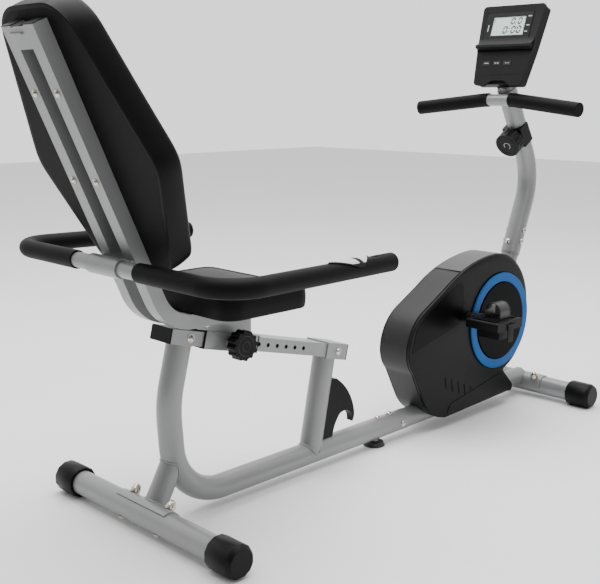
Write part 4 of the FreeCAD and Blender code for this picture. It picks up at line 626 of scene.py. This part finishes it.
def pedal_dress(tag, side):
    """The foot strap, its ladder tail and the treads of one pedal."""
    body = "pedal_" + tag
    hub = middle("pedal_body_" + tag)
    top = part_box("pedal_body_" + tag)[1].z / MM - TREAD_DROP
    place = local((hub.x - ORIGIN_X) / MM, hub.y / MM, top)
    arch = hoop(side, STRAP_RADIUS, -9.0) + hoop(side, STRAP_RADIUS - STRAP_THICK, -9.0)[::-1]
    prisms("pedal_strap_%s_finish" % tag, [arch], STRAP_OFF_X - STRAP_HALF,
           STRAP_OFF_X + STRAP_HALF, 0, place, "strap_grey", body, 0.8, ["pedal_strap_" + tag])
    ridge = hoop(side, STRAP_RADIUS + 0.5, -8.0) + hoop(side, STRAP_RADIUS - 0.2, -8.0)[::-1]
    for number, low_x in enumerate((-18.5, 16.7)):
        prisms("strap_ridge_%s_%d" % (tag, number), [ridge], STRAP_OFF_X + low_x,
               STRAP_OFF_X + low_x + 1.8, 0, place, "strap_grey", body, 0.25)
    flat = [(side * 24.0, 1.4), (side * 24.0, 3.6), (side * 47.5, 3.6), (side * 47.5, 1.4)]
    prisms("strap_flat_" + tag, [flat], STRAP_OFF_X - 17, STRAP_OFF_X + 17, 0, place,
           "black_plastic", body, 0.6)
    shelf = side * SHELF_Y
    prisms("strap_tail_" + tag, [box_loop(0.0, -18.0, 11.0, 21.0, 4.0)], shelf,
           shelf + side * 2.6, 1, place, "black_plastic", body, 0.6)
    rungs = [box_loop(0.0, -5.0 - 7.5 * k, 7.5, 1.2, 0.8) for k in range(4)]
    prisms("strap_rungs_" + tag, rungs, shelf + side * 2.2, shelf + side * 3.4, 1, place,
           "black_plastic", body, 0.3)
    treads = [box_loop(-36.0 + 12.0 * k, 0.0, 2.2, 30.0, 1.2) for k in range(7)]
    prisms("pedal_treads_" + tag, treads, 10.2, 12.6, 2, place, "black_plastic", body, 0.7)


pedal_dress("right", -1)
pedal_dress("left", 1)

# ---------------------------------------------------------------- drive housing

HOUSE_HALF, SEAM, WALL = 45.0, -37.0, 2.2
NARROW, WIDE, EDGE_LOW, EDGE_HIGH = 1.8, 15.0, 1.8, 5.4
crank = middle("drive_pulley")
CRANK_X, CRANK_Z = (crank.x - ORIGIN_X) / MM, crank.z / MM
OUTLINE = evened(loops_on_plane("housing_right", BIKE, 1, -HOUSE_HALF)[0], 220)
area = sum(OUTLINE[i - 1][0] * OUTLINE[i][1] - OUTLINE[i][0] * OUTLINE[i - 1][1]
           for i in range(len(OUTLINE)))
if area < 0:
    OUTLINE.reverse()


def inward(i):
    """Direction into the housing at a point of its outline."""
    a, b = Vector(OUTLINE[i - 3]), Vector(OUTLINE[(i + 3) % len(OUTLINE)])
    along = (b - a).normalized()
    return Vector((-along.y, along.x))


def shoulder(i):
    """How far the rounded edge reaches in: wide round the crank, narrow elsewhere."""
    x, z = OUTLINE[i]
    angle = math.degrees(math.atan2(z - CRANK_Z, x - CRANK_X))
    wide = max(0.0, min(1.0, (angle + 58) / 30)) * max(0.0, min(1.0, (146 - angle) / 34))
    return NARROW + (WIDE - NARROW) * wide * wide * (3 - 2 * wide)


SHOULDERS = [shoulder(i) for i in range(len(OUTLINE))]
SHOULDERS = [sum(SHOULDERS[(i + k) % len(OUTLINE)] for k in range(-5, 6)) / 11
             for i in range(len(OUTLINE))]
INWARD = [inward(i) for i in range(len(OUTLINE))]
INWARD = [sum((INWARD[(i + k) % len(OUTLINE)] for k in range(-2, 3)), Vector((0, 0))).normalized()
          for i in range(len(OUTLINE))]
RIM, WELL, AXLE_HOLE = 124.5, 2.4, 22.0


def housing_half(name, side, seam, node):
    """One half of the drive housing: rounded edge, flat face, ring well, inside wall."""
    count, points, faces = len(OUTLINE), [], []

    def ring(inset, rise):
        for i, (x, z) in enumerate(OUTLINE):
            spot = Vector((x, z)) + INWARD[i] * SHOULDERS[i] * inset
            drop = EDGE_LOW + (EDGE_HIGH - EDGE_LOW) * (SHOULDERS[i] - NARROW) / (WIDE - NARROW)
            points.append((spot.x, side * (HOUSE_HALF - drop + drop * rise), spot.y))

    points += [(x, seam, z) for x, z in OUTLINE]
    steps = 7
    for k in range(steps + 1):
        turn = math.pi / 2 * k / steps
        ring(1 - math.cos(turn), math.sin(turn))
    rings = steps + 2
    for k in range(rings - 1):
        for i in range(count):
            j = (i + 1) % count
            faces.append([k * count + i, k * count + j, (k + 1) * count + j, (k + 1) * count + i])
    mesh = mesh_of(name, points, faces, BIKE)
    shape = bmesh.new()
    shape.from_mesh(mesh)
    shape.verts.ensure_lookup_table()
    edge_loop = [shape.verts[(rings - 1) * count + i] for i in range(count)]
    outer = [shape.edges.get((edge_loop[i - 1], edge_loop[i])) for i in range(count)]
    sides = 96
    circles = []
    for radius, level in ((RIM, HOUSE_HALF), (RIM - 0.6, HOUSE_HALF - WELL),
                          (AXLE_HOLE, HOUSE_HALF - WELL)):
        circle = [shape.verts.new(BIKE @ Vector((
            CRANK_X + radius * math.cos(2 * math.pi * k / sides), side * level,
            CRANK_Z + radius * math.sin(2 * math.pi * k / sides)))) for k in range(sides)]
        circles.append(circle)
    rim = [shape.edges.new((circles[0][k - 1], circles[0][k])) for k in range(sides)]
    for a, b in zip(circles, circles[1:]):
        for k in range(sides):
            shape.faces.new((a[k - 1], a[k], b[k], b[k - 1]))
    bmesh.ops.triangle_fill(shape, use_beauty=True, use_dissolve=False, edges=outer + rim)
    bmesh.ops.recalc_face_normals(shape, faces=shape.faces)
    middle_face = max(shape.faces, key=lambda f: side * f.calc_center_median().y)
    if middle_face.normal.y * side < 0:
        bmesh.ops.reverse_faces(shape, faces=shape.faces)
    shape.to_mesh(mesh)
    shape.free()
    thing = link(name, mesh, "housing", "frame", [node], smooth=32.0)
    wall = thing.modifiers.new("wall", "SOLIDIFY")
    wall.thickness = WALL * MM
    wall.offset = -1
    settled(thing)
    return thing


housing_half("housing_cover", -1, SEAM - 0.25, "housing_right")
housing_half("housing_case", 1, SEAM + 0.25, "housing_left")


def nearest(x, z):
    """Index of the outline point nearest to a place."""
    return min(range(len(OUTLINE)), key=lambda i: math.hypot(OUTLINE[i][0] - x,
                                                             OUTLINE[i][1] - z))


def band(name, start, end, look):
    """A thin skin over the housing's edge, between two points of its outline."""
    first = nearest(*start)
    span = [(first + k) % len(OUTLINE) for k in
            range((nearest(*end) - first) % len(OUTLINE) + 1)]
    skin = [tuple(Vector(OUTLINE[i]) - INWARD[i] * 0.6) for i in span]
    under = [tuple(Vector(OUTLINE[i]) + INWARD[i] * 0.5) for i in reversed(span)]
    prisms(name, [skin + under], SEAM + 0.8, HOUSE_HALF - EDGE_HIGH, 1, BIKE, look, "frame", 0.3)


# The top cover and the rear skin are lighter copies of the housing plastic: painted highlight on
# the top band and painted sheen on the rear band.
band("housing_top_cover", (1112, 420), (908, 377), "housing_top")
band("housing_rear_skin", (903, 374), (800, 40), "housing_grain_painted_sheen")

PANEL = rounded_loop([
    (716, 208, 3), (790, 226, 60), (900, 252, 18), (912, 300, 20), (902, 357, 14),
    (838, 331, 80), (765, 291, 30), (731, 262, 25)], 8)
PLINTH = rounded_loop([
    (852, 32, 5), (1112, 41.5, 9), (1122, 56, 7), (1082, 95, 6), (1066, 91, 20), (868, 57, 10)], 6)
VENTS = [rounded_loop([
    (842 + 26 * i, 128 - 11 * i, 1.8), (846.5 + 26 * i, 129 - 11 * i, 1.8),
    (853.5 + 26 * i, 97 - 11 * i, 1.8), (849 + 26 * i, 96 - 11 * i, 1.8)], 4) for i in range(5)]
for side, tag in ((-1, "right"), (1, "left")):
    face = side * HOUSE_HALF
    prisms("housing_panel_" + tag, [PANEL], face - side * 0.8, face + side * 0.7, 1, BIKE,
           "panel", "frame", 0.35)
    prisms("housing_plinth_" + tag, [PLINTH], face - side * 0.8, face + side * 1.4, 1, BIKE,
           "housing", "frame", 0.7)
    # The vent slots are drawn as proud plates in the near-black look: painted shade standing in
    # for the dark inside of the slots.
    prisms("housing_vents_" + tag, VENTS, face - side * 0.8, face + side * 0.9, 1, BIKE,
           "panel", "frame", 0.4)

# ---------------------------------------------------------------- console

GLASS_Y, GLASS_Z, GLASS_HALF_Y, GLASS_HALF_Z = 5.3, 150.8, 46.6, 23.8


def frame_strips(low_y, high_y, low_z, high_z, width):
    """Four strips round a rectangle, mitred at the corners."""
    outer = [(low_y, low_z), (high_y, low_z), (high_y, high_z), (low_y, high_z)]
    inner = [(low_y + width, low_z + width), (high_y - width, low_z + width),
             (high_y - width, high_z - width), (low_y + width, high_z - width)]
    return [[outer[i], outer[(i + 1) % 4], inner[(i + 1) % 4], inner[i]] for i in range(4)]


lens_low_y, lens_high_y, lens_low_z, lens_high_z = -60.0, 73.0, 111.0, 186.0
glass_low_y, glass_high_y = GLASS_Y - GLASS_HALF_Y, GLASS_Y + GLASS_HALF_Y
glass_low_z, glass_high_z = GLASS_Z - GLASS_HALF_Z, GLASS_Z + GLASS_HALF_Z
lens_outer = [(lens_low_y, lens_low_z), (lens_high_y, lens_low_z),
              (lens_high_y, lens_high_z), (lens_low_y, lens_high_z)]
lens_inner = [(glass_low_y, glass_low_z), (glass_high_y, glass_low_z),
              (glass_high_y, glass_high_z), (glass_low_y, glass_high_z)]
prisms("console_lens", [
    [lens_outer[i], lens_outer[(i + 1) % 4], lens_inner[(i + 1) % 4], lens_inner[i]]
    for i in range(4)], -0.5, 0.3, 0, CONSOLE, "console_lens", "frame", 0.0)
prisms("console_lens_rim", frame_strips(
    lens_low_y - 1.4, lens_high_y + 1.4, lens_low_z - 1.4, lens_high_z + 1.4, 1.6),
    -1.1, 0.3, 0, CONSOLE, "console_plastic", "frame", 0.25)
# Painted shadow: a near-black strip on the console face where its ledge casts shade.
prisms("console_ledge_painted_shadow", [[(-79.5, 86.0), (79.5, 86.0), (79.9, 92.4), (-79.9, 92.4)]],
       -1.2, 0.3, 0, CONSOLE, "panel", "frame", 0.3)
prisms("console_lower_rim", [
    box_loop(0, 27.0, 52.0, 0.5), box_loop(0, 79.0, 66.0, 0.5)], -0.5, 0.3, 0, CONSOLE,
    "console_plastic", "frame", 0.15)

SEGMENTS = {"0": "abcdef"}
SLANT = 0.14


def digit(kind, right, low, width, height, thick):
    """Seven-segment strokes of a digit, in (y, z); y falls to the right of the display."""
    half, gap, loops = height / 2, thick * 0.14, []

    def stroke(a, b):
        a, b = Vector(a), Vector(b)
        along = (b - a).normalized()
        across = Vector((-along.y, along.x)) * thick / 2
        a, b = a + along * gap, b - along * gap
        tip = along * thick / 2
        corners = [a, a + tip + across, b - tip + across, b, b - tip - across, a + tip - across]
        loops.append([(right + c.x + -SLANT * c.y, low + c.y) for c in corners])

    inset = thick / 2
    left, base, top = width, inset, height - inset
    strokes = {
        "a": ((inset, top), (left - inset, top)), "d": ((inset, base), (left - inset, base)),
        "g": ((inset, half), (left - inset, half)),
        "b": ((inset, half), (inset, top)), "c": ((inset, base), (inset, half)),
        "f": ((left - inset, half), (left - inset, top)),
        "e": ((left - inset, base), (left - inset, half))}
    for key in kind:
        stroke(*strokes[key])
    return loops


READOUT = []
for right in (-31.5, -15.5, 7.5):
    READOUT += digit(SEGMENTS["0"], right, 131.5, 12.5, 19.5, 3.5)
READOUT += [box_loop(3.6 - SLANT * dz, 131.5 + dz, 1.3, 1.3) for dz in (5.5, 13.0)]
for right in (-30.0, -10.5):
    READOUT += digit(SEGMENTS["0"], right, 154.5, 12.0, 17.5, 3.4)
READOUT.append(box_loop(-14.0, 155.8, 1.3, 1.3))
READOUT += [box_loop(48.0, 168.0 - 3.2 * i, 1.6, 0.6) for i in range(3)]
READOUT += [box_loop(-38.0, 168.5, 1.8, 0.7), box_loop(-38.0, 145.5, 1.8, 0.7)]
prisms("display_segments", READOUT, 1.0, 1.35, 0, CONSOLE, "segments", "frame", 0.0)
PRINT = [box_loop(-52.5, 173.5, 5.0, 1.4, 0.5), box_loop(-51.0, 150.5, 4.6, 1.3, 0.5),
         box_loop(-49.0, 135.0, 3.8, 1.3, 0.5), box_loop(62.0, 147.0, 1.2, 8.5, 0.5)]
prisms("console_print", PRINT, -0.62, 0.3, 0, CONSOLE, "print", "frame", 0.0)
for tag in ("left", "middle", "right"):
    key = (middle("console_key_" + tag).y) / MM
    marks = {"left": [box_loop(key, 56.0, 6.0, 1.0, 0.4)],
             "middle": [box_loop(key - 3.4, 56.0, 2.4, 1.0, 0.4),
                        box_loop(key + 3.4, 56.0, 2.4, 1.0, 0.4)],
             "right": [box_loop(key + 4.2 * k, 56.0, 1.2, 1.0, 0.4) for k in (-1, 0, 1)]}[tag]
    prisms("console_key_mark_" + tag, marks, -1.15, -0.6, 0, CONSOLE, "print",
           "key_" + tag, 0.0)

# ---------------------------------------------------------------- cushions

TINY = 1e-9


def reach(loop, angle):
    """Distance from the middle to a star-shaped loop in a direction."""
    ray = Vector((math.cos(angle), math.sin(angle)))
    best = 0.0
    for i in range(len(loop)):
        a, b = Vector(loop[i - 1]), Vector(loop[i])
        side = b - a
        cross = ray.x * side.y - ray.y * side.x
        if abs(cross) < 1e-12:
            continue
        t = (a.x * side.y - a.y * side.x) / cross
        s = (a.x * ray.y - a.y * ray.x) / cross
        if t > 0 and -TINY <= s <= 1 + TINY:
            best = max(best, t)
    return best


def cushion(name, loop, cells, edge, thick, low_edge, dome, cap, shape_point, look, body, node):
    """A boxed pad: flat back, upright sides, and a face that cloth pressure fills out."""
    middle_u = (min(p[0] for p in loop) + max(p[0] for p in loop)) / 2
    middle_v = (min(p[1] for p in loop) + max(p[1] for p in loop)) / 2
    around = [(u - middle_u, v - middle_v) for u, v in loop]
    size_u = max(abs(p[0]) for p in around)
    size_v = max(abs(p[1]) for p in around)
    points, faces, index = [], [], {}

    def put(u, v, h):
        points.append(shape_point(u + middle_u, v + middle_v, h))
        return len(points) - 1

    def spot(a, b):
        """A point of the unit square, carried to the outline's shape."""
        radius = max(abs(a), abs(b))
        if radius < TINY:
            return 0.0, 0.0, 0.0
        angle = math.atan2(b * size_v, a * size_u)
        far = reach(around, angle) * radius
        return far * math.cos(angle), far * math.sin(angle), radius

    span = range(cells + 1)
    for i in span:
        for j in span:
            u, v, radius = spot(2 * i / cells - 1, 2 * j / cells - 1)
            scale = 1 - edge / max(math.hypot(u, v), 1e-6) * radius ** 6 if radius else 1
            index["face", i, j] = put(u * scale, v * scale, thick + dome * (1 - radius ** 4))
            low = 1 - low_edge / max(math.hypot(u, v), 1e-6) * radius ** 6 if radius else 1
            index["back", i, j] = put(u * low, v * low, 0.0)
    for i in range(cells):
        for j in range(cells):
            for kind, flip in (("face", False), ("back", True)):
                quad = [index[kind, i, j], index[kind, i + 1, j], index[kind, i + 1, j + 1],
                        index[kind, i, j + 1]]
                faces.append(quad[::-1] if flip else quad)
    border = ([(i, 0) for i in range(cells)] + [(cells, j) for j in range(cells)]
              + [(i, cells) for i in range(cells, 0, -1)] + [(0, j) for j in range(cells, 0, -1)])
    last = [index["back", i, j] for i, j in border]
    levels = []
    turns = 4
    for k in range(1, turns):
        a = math.pi / 2 * k / turns
        levels.append((low_edge * (1 - math.sin(a)), low_edge * (1 - math.cos(a))))
    for k in range(5):
        levels.append((-1.6 * math.sin(math.pi * k / 4) if k not in (0, 4) else 0.0,
                       low_edge + (thick - edge - low_edge) * k / 4))
    for k in range(1, turns):
        a = math.pi / 2 * k / turns
        levels.append((edge * (1 - math.cos(a)), thick - edge + edge * math.sin(a)))
    top_ring = [index["face", i, j] for i, j in border]
    rings = []
    for inset, height in levels:
        ring = []
        for i, j in border:
            u, v, _ = spot(2 * i / cells - 1, 2 * j / cells - 1)
            scale = 1 - inset / math.hypot(u, v)
            ring.append(put(u * scale, v * scale, height))
        rings.append(ring)
    rings.append(top_ring)
    for ring in rings:
        for k in range(len(ring)):
            m = (k + 1) % len(ring)
            faces.append([last[k], last[m], ring[m], ring[k]])
        last = ring
    mesh = mesh_of(name, points, faces, Matrix.Identity(4))
    thing = link(name, mesh, look, body, [node], smooth=180.0)
    free = [index["face", i, j] for i in range(1, cells) for j in range(1, cells)]
    filled(thing, free, cap)
    rounding = thing.modifiers.new("rounding", "SUBSURF")
    rounding.levels = rounding.render_levels = 1
    settled(thing).shade_smooth()
    crown = [Vector(points[k]) for k in top_ring]
    base = [Vector(points[k]) for k in rings[turns - 2]]
    return crown, base


def filled(thing, free, cap):
    """Blows a pad's free points out by cloth pressure, no further than cap millimetres."""
    rest = [v.co.copy() for v in thing.data.vertices]
    held = thing.vertex_groups.new(name="held")
    loose = set(free)
    held.add([i for i in range(len(rest)) if i not in loose], 1.0, "REPLACE")
    cloth = thing.modifiers.new("filling", "CLOTH")
    cloth.settings.vertex_group_mass = "held"
    cloth.settings.use_pressure = True
    cloth.settings.uniform_pressure_force = 4.0
    cloth.settings.effector_weights.gravity = 0.0
    cloth.settings.tension_stiffness = cloth.settings.compression_stiffness = 12.0
    cloth.point_cache.frame_start, cloth.point_cache.frame_end = 1, 20
    scene = bpy.context.scene
    for number in range(1, 21):
        scene.frame_set(number)
    graph = bpy.context.evaluated_depsgraph_get()
    moved = [v.co.copy() for v in thing.evaluated_get(graph).data.vertices]
    thing.modifiers.remove(cloth)
    thing.vertex_groups.clear()
    scene.frame_set(1)
    for vertex, start, end in zip(thing.data.vertices, rest, moved):
        step = end - start
        length = step.length / MM
        if length > 1e-6:
            step *= cap * math.tanh(length / cap) / length
        vertex.co = start + step
    thing.data.update()


def across_back(u, v, h):
    return BACK @ Vector((h, u, v))


def upright(u, v, h):
    return BIKE @ Vector((u, v, h))


seat_low, seat_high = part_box("seat_cushion")
SEAT_X = ((seat_low.x - ORIGIN_X) / MM, (seat_high.x - ORIGIN_X) / MM)
SEAT_Y = seat_high.y / MM
SEAT_Z = seat_low.z / MM
seat_loop = rounded_loop([
    (SEAT_X[0], -SEAT_Y, 36), (SEAT_X[1], -SEAT_Y, 26), (SEAT_X[1], SEAT_Y, 26),
    (SEAT_X[0], SEAT_Y, 36)], 10)
seat_loop = evened(seat_loop, 240)
seat_crown = cushion(
    "seat_pad", seat_loop, 30, 3.0, 38.0, 4.0, 7.0, 8.0,
    lambda u, v, h: upright(u, v, SEAT_Z + h), "leather_black", "seat", "seat_cushion")[0]
tube("seat_piping", seat_crown, 2.1, "leather_black", "seat")

BACK_LOW = 27.3
back_loop = evened(rounded_loop([
    (-104.0, -446.0, 22), (104.0, -446.0, 22), (181.0, -252.0, 70), (93.0, 24.0, 72),
    (-93.0, 24.0, 72), (-181.0, -252.0, 70)], 12), 300)
back_base = cushion(
    "back_pad", back_loop, 36, 11.0, 53.0, 2.0, 6.0, 10.0,
    lambda u, v, h: across_back(u, v, BACK_LOW + h), "leather_black", "seat", "back_cushion")[1]
tube("back_piping", back_base, 1.1, "leather_black", "seat")
PANEL_INSET, BACK_MIDDLE = 6.5, -211.0
panel_loop = []
for u, v in back_loop:
    shrink = 1 - PANEL_INSET / math.hypot(u, v - BACK_MIDDLE)
    panel_loop.append((u * shrink, (v - BACK_MIDDLE) * shrink + BACK_MIDDLE))
prisms("cushion_panels", [panel_loop], BACK_LOW - 0.28, BACK_LOW + 1.5, 0, BACK, "leather_back",
       "seat", 0.0, ["cushion_boards"])

# ---------------------------------------------------------------- stage, light and camera


def floor_piece():
    """A wide, flat, pale floor just under the bike."""
    points, faces = [], []
    columns, reach_out, drop = 24, 9.0, 0.0006
    for i in range(columns + 1):
        for j in range(columns + 1):
            points.append((-reach_out + 2 * reach_out * i / columns,
                           -reach_out + 2 * reach_out * j / columns, -drop))
    for i in range(columns):
        for j in range(columns):
            a = i * (columns + 1) + j
            faces.append([a, a + columns + 1, a + columns + 2, a + 1])
    mesh = mesh_of("floor", points, faces, Matrix.Identity(4))
    floor = bpy.data.objects.new("floor", mesh)
    bpy.context.scene.collection.objects.link(floor)
    mesh.materials.append(surface(
        "pale_floor", grey(0.86), grey(0.90), grain=60, spread=1.5, rough=0.55, vary=0.05,
        bump=0.02, depth=0.1))


def light(name, spot, aim, size, power):
    """A soft rectangular lamp at a spot, aimed at another."""
    data = bpy.data.lights.new(name, "AREA")
    data.shape = "RECTANGLE"
    data.size, data.size_y = size
    data.energy = power
    lamp = bpy.data.objects.new(name, data)
    lamp.location = spot
    lamp.rotation_euler = (Vector(aim) - Vector(spot)).to_track_quat("-Z", "Y").to_euler()
    bpy.context.scene.collection.objects.link(lamp)


def studio_world(bright_way, dim, bright):
    """White surroundings, brightest in one direction of the world and dim opposite it."""
    world = bpy.data.worlds.new("studio")
    world.use_nodes = True
    nodes, links = world.node_tree.nodes, world.node_tree.links
    way = nodes.new("ShaderNodeTexCoord")
    towards = nodes.new("ShaderNodeVectorMath")
    towards.operation = "DOT_PRODUCT"
    towards.inputs[1].default_value = bright_way
    span = nodes.new("ShaderNodeMapRange")
    span.interpolation_type = "SMOOTHSTEP"
    span.inputs["From Min"].default_value = -0.55
    span.inputs["From Max"].default_value = 0.7
    span.inputs["To Min"].default_value = dim
    span.inputs["To Max"].default_value = bright
    links.new(way.outputs["Generated"], towards.inputs[0])
    links.new(towards.outputs["Value"], span.inputs["Value"])
    links.new(span.outputs["Result"], nodes["Background"].inputs["Strength"])
    nodes["Background"].inputs["Color"].default_value = (1.0, 1.0, 1.0, 1)
    bpy.context.scene.world = world


floor_piece()
studio_world((0.62, 0.64, 0.46), 0.16, 1.5)
light("top", (0.1, 0.3, 3.4), (0, 0, 0), (3.4, 3.4), 190)
light("side", (-1.2, -3.2, 1.7), (0, 0, 0.4), (1.4, 1.4), 11)

camera_data = bpy.data.cameras.new("camera")
camera_data.lens = 58.77
camera_data.sensor_width = 36.0
camera = bpy.data.objects.new("camera", camera_data)
camera.location = bike(-982.24, -1414.38, 797.11)
camera.rotation_euler = (math.radians(78.468), 0, math.radians(-44.383))
bpy.context.scene.collection.objects.link(camera)
bpy.context.scene.camera = camera

bpy.context.view_layer.update()
